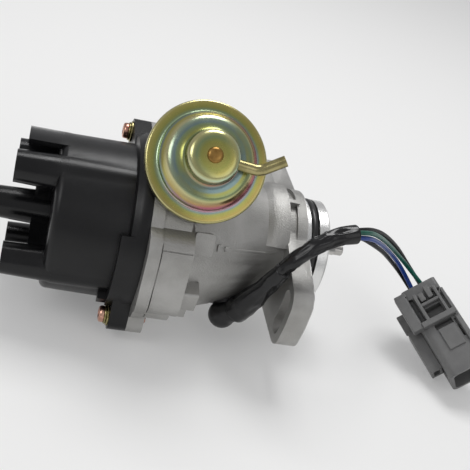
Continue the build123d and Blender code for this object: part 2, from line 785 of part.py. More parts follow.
brush_start_x = ROTOR_TOP_X - BRUSH_LENGTH
CONTACT_THICK = 1.2
contact_x = ROTOR_TOP_X
with BuildPart() as centre_terminal:
    with BuildSketch(across(centre_bore_end_x)):
        Circle(BRUSH_R + SLIP)
    extrude(amount=2)
save(centre_terminal.part, "centre_terminal")

with BuildPart() as brush_spring:
    with BuildSketch(across(centre_bore_end_x + 2)):
        Circle(BRUSH_R - 0.2)
        Circle(BRUSH_R - 0.9, mode=Mode.SUBTRACT)
    extrude(amount=brush_start_x - BRUSH_TRAVEL - GAP - centre_bore_end_x - 2)
save(brush_spring.part, "brush_spring")

with BuildPart() as carbon_brush:
    with BuildSketch(across(brush_start_x)):
        Circle(BRUSH_R)
    extrude(amount=BRUSH_LENGTH)
    chamfer(carbon_brush.edges().group_by(Axis.X)[-1], 0.5)
save(carbon_brush.part, "carbon_brush")

with BuildPart() as cap_screws:
    for point in screw_points:
        with BuildSketch(across(SCREW_TIP_X)):
            with Locations(point):
                Circle(SCREW_R)
        extrude(amount=JOINT_X - LUG_HEIGHT - 1 - SCREW_TIP_X)
        with BuildSketch(across(JOINT_X - LUG_HEIGHT)):
            with Locations(point):
                Circle(5.2)
        extrude(amount=-1)
        with BuildSketch(across(JOINT_X - LUG_HEIGHT - 1)):
            with Locations(point):
                Circle(4.4)
        extrude(amount=-3.6)
    chamfer(cap_screws.edges().filter_by(GeomType.CIRCLE).group_by(Axis.X)[0], 0.9)
save(cap_screws.part, "cap_screws")

# ---------------------------------------------------------------- rotor
ARM_R = TOWER_PITCH_R - TERMINAL_R - SPARK_GAP
ROTOR_ANGLE = TOWER_ANGLE + 25
hub_top_x = ROTOR_TOP_X + CONTACT_THICK
with BuildPart() as rotor_arm:
    with BuildSketch(across(ROTOR_END_X)):
        Circle(ROTOR_HUB_R)
    extrude(amount=hub_top_x - ROTOR_END_X)
    with BuildSketch(across(hub_top_x)):
        Circle(ROTOR_HUB_R - 1)
        with Locations(around(ARM_R - 7, ROTOR_ANGLE)):
            Circle(5)
        make_hull()
    extrude(amount=6)
    with BuildSketch(across(hub_top_x + 3)):
        with Locations(around(-13, ROTOR_ANGLE)):
            Rectangle(8, 12, rotation=ROTOR_ANGLE)
    extrude(amount=4)
    with BuildSketch(across(ROTOR_END_X)):
        Circle(SLEEVE_OUTER_R - 1 + RUNNING)
        with Locations((0, -SLEEVE_OUTER_R)):
            Rectangle(16, 3.2 - 2 * RUNNING, mode=Mode.SUBTRACT)
    extrude(amount=-8, mode=Mode.SUBTRACT)
save(rotor_arm.part, "rotor_arm")

with BuildPart() as rotor_contact:
    with BuildSketch(across(contact_x)):
        Circle(4)
        with Locations(around(ARM_R / 2, ROTOR_ANGLE)):
            Rectangle(ARM_R, 5, rotation=ROTOR_ANGLE)
        Circle(ARM_R, mode=Mode.INTERSECT)
    extrude(amount=CONTACT_THICK)
save(rotor_contact.part, "rotor_contact")

# ---------------------------------------------------------------- vacuum canister
LIP = 0.9
RIVET_R = 2.0
pipe_route = [(9.5, -1.4, 13.0), (21.0, -2.6, 13.0), (31.0, 3.0, 17.0)]
pipe_points = [canister_rim + Vector(x, 0, 0) + canister_up * y + canister_axis * z for x, y, z in pipe_route]
pipe_plane = Plane(origin=pipe_points[0], z_dir=pipe_points[1] - pipe_points[0])
CAVITY_R = CANISTER_R - LIP
with BuildPart() as canister_cover:
    with BuildSketch(canister_profile):
        with BuildLine():
            Polyline(
                (0, BOSS_HEIGHT),
                (BOSS_R - 1.6, BOSS_HEIGHT),
                (BOSS_R, BOSS_HEIGHT - 1.6),
                (BOSS_R, 11),
                (BOSS_R + 1.2, 9.8),
                (SHOULDER_R - 2, 8.6),
                (SHOULDER_R, 6.6),
                (STEP_R - 0.8, 5.0),
                (STEP_R, 3.8),
                (STEP_R, 1.8),
                (CANISTER_R, 1.8),
                (CANISTER_R, -SHELL_LIP),
                (CANISTER_R - LIP, -SHELL_LIP),
                (CANISTER_R - LIP, 0.7),
                (STEP_R - SHEET, 0.7),
                (STEP_R - SHEET, 3.6),
                (SHOULDER_R - SHEET, 6.0),
                (SHOULDER_R - SHEET - 1.4, 7.5),
                (BOSS_R, 8.8),
                (BOSS_R - SHEET, 10.2),
                (BOSS_R - SHEET, BOSS_HEIGHT - 2.2),
                (BOSS_R - SHEET - 1, BOSS_HEIGHT - SHEET),
                (0, BOSS_HEIGHT - SHEET),
                close=True,
            )
        make_face()
    revolve(axis=Axis(canister_rim, canister_axis))
    with BuildSketch(canister_plane(BOSS_HEIGHT + 1)):
        Circle(RIVET_R)
    extrude(amount=-SHEET - 2, mode=Mode.SUBTRACT)
    with BuildSketch(pipe_plane):
        Circle(PIPE_R)
    extrude(amount=5, mode=Mode.SUBTRACT)
save(canister_cover.part, "canister_cover")

with BuildPart() as canister_rear_shell:
    with BuildSketch(canister_profile):
        with BuildLine():
            Polyline(
                (3.4, -REAR_DEPTH),
                (REAR_FLAT_R, -REAR_DEPTH),
                (15, -6.6),
                (20, -4.4),
                (23.5, -1.8),
                (CANISTER_R - LIP, -1.8),
                (CANISTER_R - LIP, -0.7),
                (23.0, -0.7),
                (19.5, -3.3),
                (14.5, -5.5),
                (9.2, -REAR_DEPTH + SHEET),
                (3.4, -REAR_DEPTH + SHEET),
                close=True,
            )
        make_face()
    revolve(axis=Axis(canister_rim, canister_axis))
    with BuildSketch(canister_plane(-REAR_DEPTH + SHEET)):
        Circle(4.4)
        Circle(3.4, mode=Mode.SUBTRACT)
    extrude(amount=-SHEET - 3.5)
save(canister_rear_shell.part, "canister_rear_shell")

CUP_R = 9.0
with BuildPart() as diaphragm:
    with BuildSketch(canister_plane(-0.7)):
        Circle(CAVITY_R)
        Circle(CUP_R + GAP, mode=Mode.SUBTRACT)
    extrude(amount=1.4)
save(diaphragm.part, "diaphragm")

DIAPHRAGM_TRAVEL = 4.6
with BuildPart() as diaphragm_spring:
    with BuildSketch(canister_plane(0.7 + DIAPHRAGM_TRAVEL + GAP)):
        Circle(7.5)
        Circle(6.4, mode=Mode.SUBTRACT)
    extrude(amount=BOSS_HEIGHT - SHEET - 0.7 - DIAPHRAGM_TRAVEL - GAP)
save(diaphragm_spring.part, "diaphragm_spring")

RIVET_HEAD_R = 3.5
with BuildPart() as canister_rivet:
    with BuildSketch(canister_plane(BOSS_HEIGHT)):
        Circle(RIVET_HEAD_R)
    extrude(amount=1.2)
    chamfer(canister_rivet.faces().sort_by(Axis(canister_rim, canister_axis))[-1].edges(), 0.5)
    with BuildSketch(canister_plane(BOSS_HEIGHT)):
        Circle(RIVET_R)
    extrude(amount=-SHEET)
save(canister_rivet.part, "canister_rivet")

# pipe: leaves the boss sideways and bends up and outwards
with BuildPart() as vacuum_pipe:
    with BuildLine() as pipe_path:
        FilletPolyline(*pipe_points, radius=8)
    with BuildSketch(pipe_plane):
        Circle(PIPE_R)
        Circle(PIPE_BORE_R, mode=Mode.SUBTRACT)
    sweep()
save(vacuum_pipe.part, "vacuum_pipe")

link_reach = 30.0
link_plane = Plane(origin=(link_x, canister_foot.Y, canister_foot.Z), x_dir=canister_axis, z_dir=(-1, 0, 0))
with BuildPart() as diaphragm_link:
    with BuildSketch(link_plane):
        with Locations((link_reach / 2 - 1.5, 0)):
            RectangleRounded(link_reach + 3, 7.0, 2)
        Circle(LINK_PIN_R + SLIP, mode=Mode.SUBTRACT)
        with Locations((0, -0.5), (0, 0.5)):
            Circle(LINK_PIN_R + SLIP, mode=Mode.SUBTRACT)
    extrude(amount=LINK_THICK)
    with BuildSketch(canister_plane(27.6 - CANISTER_REACH)):
        with Locations((link_x - LINK_THICK - CANISTER_X + 1.6, 0)):
            Rectangle(3.2, 4)
        Circle(ROD_R)
        make_hull()
    extrude(amount=3)
    with BuildSketch(canister_plane(28 - CANISTER_REACH)):
        Circle(ROD_R)
    extrude(amount=CANISTER_REACH - 28)
    with BuildSketch(canister_plane(-0.7)):
        Circle(CUP_R)
    extrude(amount=1.4)
save(diaphragm_link.part, "diaphragm_link")

with BuildPart() as canister_bracket:
    with BuildSketch(canister_plane(bracket_height)):
        RectangleRounded(BRACKET_LENGTH, BRACKET_WIDTH, 3)
        Circle(4.5, mode=Mode.SUBTRACT)
    extrude(amount=BRACKET_THICK)
    for side in screw_sides:
        with BuildSketch(canister_plane(bracket_height)):
            with Locations((side, 0)):
                Circle(BRACKET_SCREW_R)
        with BuildSketch(canister_plane(bracket_height + BRACKET_THICK)):
            with Locations((side, 0)):
                Circle(BRACKET_HEAD_R)
        loft(mode=Mode.SUBTRACT)
save(canister_bracket.part, "canister_bracket")

with BuildPart() as canister_screws:
    for side in screw_sides:
        with BuildSketch(canister_plane(bracket_height)):
            with Locations((side, 0)):
                Circle(BRACKET_SCREW_R)
        with BuildSketch(canister_plane(bracket_height + BRACKET_THICK)):
            with Locations((side, 0)):
                Circle(BRACKET_HEAD_R)
        loft()
        with BuildSketch(canister_plane(bracket_height)):
            with Locations((side, 0)):
                Circle(BRACKET_SCREW_R)
        extrude(amount=-8)
save(canister_screws.part, "canister_screws")

# ---------------------------------------------------------------- lead
grommet_knee = Vector(GROMMET_X, *around(GROMMET_KNEE_R, GROMMET_ANGLE))
lead_direction = Vector(0.50, -0.42, 0.757).normalized()

with BuildPart() as lead_grommet:
    with BuildSketch(grommet_plane(GROMMET_SEAT_R)):
        Circle(GROMMET_STEM_R)
    extrude(amount=-GROMMET_DEPTH)
    with BuildSketch(grommet_plane(GROMMET_SEAT_R)):
        Circle(GROMMET_FLANGE_R)
    extrude(amount=2.3)
    with BuildSketch(grommet_plane(GROMMET_SEAT_R)):
        Circle(5)
    extrude(amount=GROMMET_KNEE_R - GROMMET_SEAT_R)
    with Locations(grommet_knee):
        Sphere(6.8)
    with BuildSketch(Plane(origin=grommet_knee, z_dir=lead_direction)):
        Circle(6.3)
    with BuildSketch(Plane(origin=grommet_knee + lead_direction * GROMMET_SPOUT, z_dir=lead_direction)):
        Circle(LEAD_SLEEVE_R + 0.7)
    loft()
save(lead_grommet.part, "lead_grommet")


def cord_tube(route, radius):
    """Plain round tube along straight runs joined by the largest tangent arcs that they allow."""
    points = [Vector(*p) for p in route]
    radii = []
    for before, here, after in zip(points, points[1:], points[2:]):
        shorter = min((here - before).length, (after - here).length)
        half_turn = radians((here - before).get_angle(after - here)) / 2
        radii.append(0.45 * shorter / tan(half_turn))
    print("radii", [round(r, 1) for r in radii])
    with BuildPart() as tube:
        with BuildLine() as path:
            FilletPolyline(*points, radius=radii)
        with BuildSketch(Plane(origin=path.line @ 0, z_dir=path.line % 0)):
            Circle(radius)
        sweep()
    swept = pi * radius**2 * sum(edge.length for edge in path.edges())
    print(f"volume over section times length {tube.part.volume / swept:.4f}")
    return tube


sleeve_start = grommet_knee + lead_direction * GROMMET_SPOUT
sleeve_route = [
    (sleeve_start.X, sleeve_start.Y, sleeve_start.Z),
    (-21.8, -33.6, -11.4),
    (-18.8, -38.4, -1.2),
    (-16.4, -43.2, 10.4),
    (-12.0, -45.6, 21.2),
    (-2.8, -43.6, 29.8),
    (7.0, -39.6, 33.6),
    (15.0, -37.0, 34.4),
]
lead_sleeve = cord_tube(sleeve_route, LEAD_SLEEVE_R)
save(lead_sleeve.part, "lead_sleeve")

wire_routes = {
    "wire_black": [
        (14.5, -35.6, 35.4),
        (21.7, -30.8, 33.5),
        (29.3, -23.7, 29.1),
        (36.3, -16.7, 24.2),
        (43.1, -9.9, 18.9),
        (50.1, -3.3, 13.2),
        (57.2, 2.9, 7.2),
        (64.6, 8.4, 1.0),
        (72.5, 12.0, -5.6),
        (80.9, 10.6, -12.5),
        (85.6, 4.3, -16.0),
    ],
    "wire_green": [
        (15.2, -38.0, 35.9),
        (22.2, -33.7, 34.4),
        (29.3, -27.2, 30.5),
        (35.9, -20.7, 25.8),
        (42.4, -14.2, 20.8),
        (48.8, -8.0, 15.5),
        (55.2, -2.2, 9.9),
        (62.3, 3.0, 4.0),
        (69.5, 6.8, -2.0),
        (77.5, 7.4, -8.5),
        (82.2, 1.9, -11.7),
    ],
    "wire_blue": [
        (15.5, -38.4, 33.4),
        (22.3, -34.1, 31.8),
        (29.0, -27.8, 27.9),
        (35.4, -21.4, 23.4),
        (41.5, -15.1, 18.6),
        (47.7, -8.8, 13.3),
        (53.8, -3.1, 7.9),
        (60.2, 2.0, 1.9),
        (66.9, 5.8, -4.7),
        (73.8, 6.6, -11.7),
        (77.6, 1.3, -15.6),
    ],
    "wire_ground": [
        (14.8, -36.0, 32.9),
        (21.7, -31.2, 30.9),
        (29.0, -24.2, 26.5),
        (35.7, -17.4, 21.8),
        (42.3, -10.5, 16.5),
        (48.9, -4.1, 11.0),
        (55.5, 2.0, 5.1),
        (62.2, 7.3, -1.4),
        (69.4, 11.0, -8.5),
        (76.9, 9.9, -15.9),
        (81.0, 3.7, -19.9),
    ],
}
for label, route in wire_routes.items():
    wire = cord_tube(route, WIRE_R)
    save(wire.part, label)

# ---------------------------------------------------------------- connector
connector_axis = Vector(0.33, -0.91, -0.25).normalized()
connector_side = Vector(0.759, 0.0986, 0.643)
connector_rear = Vector(81.6, 2.8, -15.8)


def connector_plane(distance):
    """Plane square to the connector's axis, local x along its width and local y up its height."""
    return Plane(origin=connector_rear + connector_axis * distance, x_dir=connector_side, z_dir=connector_axis)


REAR_BLOCK = 16.0
CAVITY_DEPTH = 24.0
SEAL_BLOCK_DEPTH = 4.0
with BuildPart() as connector_shell:
    with BuildSketch(connector_plane(0)):
        RectangleRounded(CONNECTOR_WIDTH - 2, CONNECTOR_HEIGHT - 4, 2)
    extrude(amount=REAR_BLOCK)
    with BuildSketch(connector_plane(REAR_BLOCK - 2)):
        RectangleRounded(CONNECTOR_WIDTH, CONNECTOR_HEIGHT, 4)
    extrude(amount=CONNECTOR_LENGTH - REAR_BLOCK + 2)
    with BuildSketch(connector_plane(CONNECTOR_LENGTH - CAVITY_DEPTH)):
        RectangleRounded(CONNECTOR_WIDTH - 2 * CONNECTOR_WALL, CONNECTOR_HEIGHT - 2 * CONNECTOR_WALL, 2.6)
    extrude(amount=CAVITY_DEPTH, mode=Mode.SUBTRACT)
    # latch frame on top: two rails and two cross bars
    with BuildSketch(connector_plane(3)):
        with Locations((-8.4, CONNECTOR_HEIGHT / 2 + 0.5), (8.4, CONNECTOR_HEIGHT / 2 + 0.5)):
            Rectangle(2.2, 6.5)
    extrude(amount=27)
    for start, length in ((3, 3), (25, 4)):
        with BuildSketch(connector_plane(start)):
            with Locations((0, CONNECTOR_HEIGHT / 2 + 2.6)):
                Rectangle(19, 2.3)
        extrude(amount=length)
    # guard fin beside the wires
    with BuildSketch(connector_plane(1)):
        with Locations((-CONNECTOR_WIDTH / 2 - 2.5, 2)):
            Rectangle(7.5, 2)
    extrude(amount=14)
    # pocket for the rear seal
    with BuildSketch(connector_plane(0)):
        RectangleRounded(13.5, 12.5, 2)
    extrude(amount=SEAL_BLOCK_DEPTH, mode=Mode.SUBTRACT)
save(connector_shell.part, "connector_shell")

with BuildPart() as connector_seal:
    with BuildSketch(connector_plane(0)):
        RectangleRounded(13.5, 12.5, 2)
    extrude(amount=SEAL_BLOCK_DEPTH)
save(connector_seal.part, "connector_seal")

with BuildPart() as connector_pins:
    with BuildSketch(connector_plane(CONNECTOR_LENGTH - CAVITY_DEPTH)):
        with GridLocations(PIN_PITCH, PIN_PITCH, 2, 2):
            Rectangle(2.2, 0.9)
    extrude(amount=CAVITY_DEPTH - 8)
save(connector_pins.part, "connector_pins")

with BuildPart() as connector_clip:
    with BuildSketch(connector_plane(20)):
        with Locations((-CONNECTOR_WIDTH / 2 - 3.2, -1)):
            Rectangle(6.4, 9)
        with Locations((-CONNECTOR_WIDTH / 2 - 3.2, -1)):
            Rectangle(3.2, 5.4, mode=Mode.SUBTRACT)
    extrude(amount=25)
save(connector_clip.part, "connector_clip")
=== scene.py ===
import math

import bmesh
import bpy
from mathutils import Matrix, Vector, noise


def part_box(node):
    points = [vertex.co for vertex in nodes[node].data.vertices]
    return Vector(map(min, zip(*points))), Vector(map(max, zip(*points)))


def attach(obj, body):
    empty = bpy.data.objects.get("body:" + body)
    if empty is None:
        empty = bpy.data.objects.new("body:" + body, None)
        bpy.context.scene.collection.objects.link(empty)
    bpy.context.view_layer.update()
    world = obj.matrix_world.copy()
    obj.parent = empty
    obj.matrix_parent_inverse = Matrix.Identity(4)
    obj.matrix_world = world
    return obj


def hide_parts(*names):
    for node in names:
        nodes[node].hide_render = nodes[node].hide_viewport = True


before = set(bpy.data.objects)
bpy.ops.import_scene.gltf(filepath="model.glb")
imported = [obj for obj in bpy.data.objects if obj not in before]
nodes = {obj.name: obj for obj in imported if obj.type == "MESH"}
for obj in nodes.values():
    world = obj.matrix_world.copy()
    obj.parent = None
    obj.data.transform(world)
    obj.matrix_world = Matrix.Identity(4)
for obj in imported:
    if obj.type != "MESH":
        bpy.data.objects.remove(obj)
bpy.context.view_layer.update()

scene = bpy.context.scene
milli = 0.001  # sizes of shapes and depths of grain are given in mm, points and patterns in metres
weldGap = 0.000002  # points of a new shape nearer than this are one

cameraSetup = {
    "place": (-0.131149, -0.345020, 0.204609),
    "right": (0.95591698, -0.13045836, 0.26306529),
    "up": (-0.15583603, 0.53391949, 0.83105061),
    "back": (-0.24887319, -0.83541043, 0.49005259),
    "lens": 63.586, "sensor": 36, "nearest": 0.01, "farthest": 20,
}


def makeCamera(s):
    data = bpy.data.cameras.new("viewCamera")
    data.sensor_width = s["sensor"]
    data.lens = s["lens"]
    data.clip_start, data.clip_end = s["nearest"], s["farthest"]
    camera = bpy.data.objects.new("viewCamera", data)
    scene.collection.objects.link(camera)
    turn = Matrix((s["right"], s["up"], s["back"])).transposed().to_4x4()
    camera.matrix_world = Matrix.Translation(s["place"]) @ turn
    scene.camera = camera


makeCamera(cameraSetup)
print("camera placed")


def startMaterial(name, colour, roughness, metallic=0.0, specular=0.5):
    material = bpy.data.materials.new(name)
    material.use_nodes = True
    tree = material.node_tree
    shader = tree.nodes["Principled BSDF"]
    shader.inputs["Base Color"].default_value = (*colour, 1)
    shader.inputs["Roughness"].default_value = roughness
    shader.inputs["Metallic"].default_value = metallic
    shader.inputs["Specular IOR Level"].default_value = specular
    return material, tree, shader


def addNode(tree, kind, **values):
    # a value sets the input of that name, or else the node's own property
    node = tree.nodes.new(kind)
    for key, value in values.items():
        if key in node.inputs:
            node.inputs[key].default_value = value
        else:
            setattr(node, key, value)
    return node


def objectPlace(tree):
    return addNode(tree, "ShaderNodeTexCoord").outputs["Object"]


def axesFrom(tree, source):
    parts = addNode(tree, "ShaderNodeSeparateXYZ")
    tree.links.new(source, parts.inputs["Vector"])
    return parts.outputs


def mathNode(tree, operation, *values):
    # each value is a socket or a number
    node = addNode(tree, "ShaderNodeMath", operation=operation)
    for socket, value in zip(node.inputs, values):
        if isinstance(value, (int, float)):
            socket.default_value = value
        else:
            tree.links.new(value, socket)
    return node.outputs[0]


def noiseFrom(tree, source, scale, detail=3.0, roughness=0.55):
    cloud = addNode(tree, "ShaderNodeTexNoise", Scale=scale, Detail=detail, Roughness=roughness)
    tree.links.new(source, cloud.inputs["Vector"])
    return cloud.outputs["Fac"]


def rampFrom(tree, source, stops):
    ramp = addNode(tree, "ShaderNodeValToRGB")
    elements = ramp.color_ramp.elements
    while len(elements) < len(stops):
        elements.new(0.5)
    for element, (place, colour) in zip(elements, stops):
        element.position = place
        element.color = (*colour, 1)
    tree.links.new(source, ramp.inputs["Fac"])
    return ramp.outputs["Color"]


def toneFrom(tree, source, scale, dark, light, detail=4.0, span=(0.3, 0.7)):
    return rampFrom(tree, noiseFrom(tree, source, scale, detail), [(span[0], dark), (span[1], light)])


def rangeFrom(tree, source, low, high, start=0.0, end=1.0):
    # start to end in the source become low to high
    spread = addNode(tree, "ShaderNodeMapRange",
                     **{"From Min": start, "From Max": end, "To Min": low, "To Max": high})
    tree.links.new(source, spread.inputs["Value"])
    return spread.outputs["Result"]


def mixFrom(tree, share, first, second):
    # first and second are sockets or colours
    mix = addNode(tree, "ShaderNodeMix", data_type="RGBA")
    tree.links.new(share, mix.inputs[0])
    for socket, value in ((mix.inputs[6], first), (mix.inputs[7], second)):
        if isinstance(value, tuple):
            socket.default_value = (*value, 1)
        else:
            tree.links.new(value, socket)
    return mix.outputs[2]


def addBump(tree, shader, heights, depth):
    # heights are (socket, share of the depth) pairs
    last = None
    for source, share in heights:
        bump = addNode(tree, "ShaderNodeBump", Strength=share, Distance=depth * milli)
        tree.links.new(source, bump.inputs["Height"])
        if last is not None:
            tree.links.new(last, bump.inputs["Normal"])
        last = bump.outputs["Normal"]
    tree.links.new(last, shader.inputs["Normal"])


# soft and grain: how strongly a plain finish's broad and fine unevenness show
mottleSettings = {"softScale": 400.0, "soft": 0.5, "grainDetail": 2.0, "grain": 1.0, "leastRoughness": 0.02}


def mottled(name, dark, light, roughness, metallic, toneScale, grainScale, grainDepth, roughSpread=0.08,
            specular=0.5):
    s = mottleSettings
    material, tree, shader = startMaterial(name, light, roughness, metallic, specular)
    place = objectPlace(tree)
    tree.links.new(toneFrom(tree, place, toneScale, dark, light), shader.inputs["Base Color"])
    soft = noiseFrom(tree, place, s["softScale"])
    low, high = max(roughness - roughSpread, s["leastRoughness"]), min(roughness + roughSpread, 1)
    tree.links.new(rangeFrom(tree, soft, low, high), shader.inputs["Roughness"])
    grain = noiseFrom(tree, place, grainScale, s["grainDetail"])
    addBump(tree, shader, [(soft, s["soft"]), (grain, s["grain"])], grainDepth)
    return material


castSettings = {
    "dark": (0.34, 0.335, 0.32), "light": (0.48, 0.475, 0.46), "toneScale": 45.0, "toneDetail": 5.0,
    "toneSpan": (0.32, 0.68), "roughness": 0.46, "metallic": 0.85,
    "grainScale": 1500.0, "grainRoughness": 0.65, "grainDepth": 0.24, "coarseScale": 500.0, "coarse": 0.35,
    # the machined end is brighter, with fine rings from the lathe
    "turnedFromX": -0.0003, "turned": (0.76, 0.76, 0.75), "turnedRoughness": 0.27,
    "ringsPerMetre": 2200.0, "ringWander": 0.4, "rings": 0.12,
}


def castAluminium(s):
    material, tree, shader = startMaterial("castAluminium", s["light"], s["roughness"], s["metallic"])
    place = objectPlace(tree)
    cast = toneFrom(tree, place, s["toneScale"], s["dark"], s["light"], s["toneDetail"], s["toneSpan"])
    machined = mathNode(tree, "GREATER_THAN", axesFrom(tree, place)["X"], s["turnedFromX"])
    unmachined = mathNode(tree, "SUBTRACT", 1.0, machined)
    tree.links.new(mixFrom(tree, machined, cast, s["turned"]), shader.inputs["Base Color"])
    tree.links.new(rangeFrom(tree, machined, s["roughness"], s["turnedRoughness"]),
                   shader.inputs["Roughness"])
    grain = noiseFrom(tree, place, s["grainScale"], roughness=s["grainRoughness"])
    coarse = noiseFrom(tree, place, s["coarseScale"])
    rings = addNode(tree, "ShaderNodeTexWave", wave_type="BANDS", bands_direction="X",
                    Scale=s["ringsPerMetre"], Distortion=s["ringWander"])
    tree.links.new(place, rings.inputs["Vector"])
    castHeight = mathNode(tree, "MULTIPLY", grain, unmachined)
    turnedHeight = mathNode(tree, "MULTIPLY", rings.outputs["Fac"], machined)
    addBump(tree, shader, [(castHeight, 1.0), (coarse, s["coarse"]), (turnedHeight, s["rings"])],
            s["grainDepth"])
    return material


# the canister's own axes: z out of its face, x along the shaft, from the middle of its rim
canisterSetup = {"tilt": 37.4, "x": -0.0576, "offset": 0.026, "reach": 0.048}


def canisterMatrix(s):
    tilt = math.radians(s["tilt"])
    along = Vector((1, 0, 0))
    upward = Vector((0, math.sin(tilt), math.cos(tilt)))
    outward = Vector((0, -math.cos(tilt), math.sin(tilt)))
    place = Matrix((along, upward, outward)).transposed().to_4x4()
    place.translation = along * s["x"] + upward * s["offset"] + outward * s["reach"]
    return place


canisterPlace = canisterMatrix(canisterSetup)

# yellow zinc: the film's colour goes by the distance from the canister's middle
zincSettings = {
    "base": (0.45, 0.42, 0.16), "roughness": 0.22, "roughSpan": (0.16, 0.34),
    "hazeScale": 260.0, "hazeDetail": 4.0, "haze": 0.4,
    "grainScale": 1500.0, "grain": 0.4, "grainDepth": 0.02,
    "rim": 0.0275, "wobble": 0.0011,  # how far a film band strays from its circle
    "shade": (0.8, -0.6), "shadeSpan": (-0.55, 0.75),  # the side of the face where the film is thicker
    "calmMiddle": 0.002, "streaks": 1.4, "streakScale": 170.0, "streakDetail": 3.0,
    "patchScale": 55.0, "patchDetail": 2.0, "filmRoughness": 0.5,
    "colours": {
        "brass": (0.40, 0.31, 0.10), "olive": (0.34, 0.34, 0.10), "gold": (0.46, 0.41, 0.13),
        # straw, pale gold and mint are the painted highlight colours for the pressing's edges
        "strawGlint": (0.52, 0.50, 0.24), "paleGoldGlint": (0.60, 0.56, 0.31), "moss": (0.27, 0.34, 0.18),
        "slate": (0.20, 0.28, 0.28), "sage": (0.36, 0.43, 0.30), "mintGlint": (0.55, 0.70, 0.50),
        "copper": (0.46, 0.24, 0.14), "plum": (0.44, 0.13, 0.20), "rose": (0.60, 0.29, 0.37),
    },
    # film bands outwards from the middle, (radius in mm, colour), on the thin side and the thick one; the
    # pale bands at the boss's rounded edge (10 to 11.5), the shoulder (19), the step (22) and the rim (27.5)
    # are painted highlights along those edges, set among the film's colours
    "thin": [(0, "brass"), (6, "olive"), (8, "moss"), (10, "strawGlint"), (11.5, "paleGoldGlint"), (12, "moss"),
             (13, "olive"), (15, "moss"), (16, "slate"), (18, "sage"), (19, "paleGoldGlint"), (20.5, "gold"),
             (21.5, "slate"), (22, "mintGlint"), (23, "moss"), (24, "olive"), (26, "gold"), (27.5, "paleGoldGlint")],
    "thick": [(0, "brass"), (6, "olive"), (8, "gold"), (10, "strawGlint"), (11, "mintGlint"), (12, "copper"),
              (13, "slate"), (15, "slate"), (16, "olive"), (18, "moss"), (19, "strawGlint"), (20.5, "copper"),
              (21.5, "plum"), (22, "rose"), (23, "slate"), (24, "olive"), (26, "brass"), (27.5, "strawGlint")],
}


def yellowZinc(s):
    material, tree, shader = startMaterial("yellowZinc", s["base"], s["roughness"], 1.0)
    place = objectPlace(tree)
    turned = addNode(tree, "ShaderNodeMapping", vector_type="POINT")
    back = canisterPlace.inverted()
    turned.inputs["Location"].default_value = back.translation
    turned.inputs["Rotation"].default_value = back.to_euler("XYZ")
    tree.links.new(place, turned.inputs["Vector"])
    face = turned.outputs["Vector"]
    axes = axesFrom(tree, face)
    squares = [mathNode(tree, "MULTIPLY", axes[axis], axes[axis]) for axis in ("X", "Y")]
    reach = mathNode(tree, "SQRT", mathNode(tree, "ADD", *squares))
    patches = noiseFrom(tree, face, s["patchScale"], s["patchDetail"], s["filmRoughness"])
    stray = mathNode(tree, "MULTIPLY", mathNode(tree, "SUBTRACT", patches, 0.5), s["wobble"])
    ring = mathNode(tree, "DIVIDE", mathNode(tree, "ADD", reach, stray), s["rim"])
    side = mathNode(tree, "ADD", mathNode(tree, "MULTIPLY", axes["X"], s["shade"][0]),
                    mathNode(tree, "MULTIPLY", axes["Y"], s["shade"][1]))
    lean = mathNode(tree, "DIVIDE", side, mathNode(tree, "ADD", reach, s["calmMiddle"]))
    streaks = noiseFrom(tree, face, s["streakScale"], s["streakDetail"], s["filmRoughness"])
    uneven = mathNode(tree, "MULTIPLY", mathNode(tree, "SUBTRACT", streaks, 0.5), s["streaks"])
    thickness = rangeFrom(tree, mathNode(tree, "ADD", lean, uneven), 0.0, 1.0, *s["shadeSpan"])
    rimMm = s["rim"] / milli
    thin, thick = (
        rampFrom(tree, ring, [(radius / rimMm, s["colours"][film]) for radius, film in s[bands]])
        for bands in ("thin", "thick"))
    tree.links.new(mixFrom(tree, thickness, thin, thick), shader.inputs["Base Color"])
    haze = noiseFrom(tree, place, s["hazeScale"], s["hazeDetail"])
    tree.links.new(rangeFrom(tree, haze, *s["roughSpan"]), shader.inputs["Roughness"])
    grain = noiseFrom(tree, place, s["grainScale"])
    addBump(tree, shader, [(grain, s["grain"]), (haze, s["haze"])], s["grainDepth"])
    return material


# the cap is satin on its drum and polished on its towers, which run from towersFromX towards -X
capSettings = {
    "dark": (0.0035, 0.0035, 0.004), "light": (0.0075, 0.0075, 0.0082), "toneScale": 70.0, "specular": 0.36,
    "drumRoughness": 0.33, "towerRoughness": 0.16, "towersFromX": -0.1205, "fade": (-0.002, 0.003),
    "flowScale": 240.0, "flow": 0.14, "softScale": 400.0, "soft": 0.5,
    "grainScale": 3200.0, "grainDetail": 2.0, "grain": 1.0, "grainDepth": 0.04,
}


def capPlastic(s):
    material, tree, shader = startMaterial("capPlastic", s["light"], s["drumRoughness"], 0.0, s["specular"])
    place = objectPlace(tree)
    tree.links.new(toneFrom(tree, place, s["toneScale"], s["dark"], s["light"]), shader.inputs["Base Color"])
    fadeStart, fadeEnd = (s["towersFromX"] + step for step in s["fade"])
    polish = rangeFrom(tree, axesFrom(tree, place)["X"], s["towerRoughness"], s["drumRoughness"],
                       fadeStart, fadeEnd)
    flow = noiseFrom(tree, place, s["flowScale"])
    spread = mathNode(tree, "MULTIPLY", mathNode(tree, "SUBTRACT", flow, 0.5), s["flow"])
    tree.links.new(mathNode(tree, "ADD", polish, spread), shader.inputs["Roughness"])
    soft = noiseFrom(tree, place, s["softScale"])
    grain = noiseFrom(tree, place, s["grainScale"], s["grainDetail"])
    addBump(tree, shader, [(soft, s["soft"]), (grain, s["grain"])], s["grainDepth"])
    return material


vinylSettings = {
    "base": (0.009, 0.009, 0.010), "dark": (0.003, 0.003, 0.0035), "light": (0.008, 0.008, 0.009),
    "toneScale": 130.0, "toneDetail": 3.0, "specular": 0.45,
    "roughness": 0.2, "roughSpan": (0.12, 0.32), "shineScale": 210.0, "shineDetail": 2.0,
    "creaseScale": 420.0, "creases": 0.25, "grainDepth": 0.3,
}


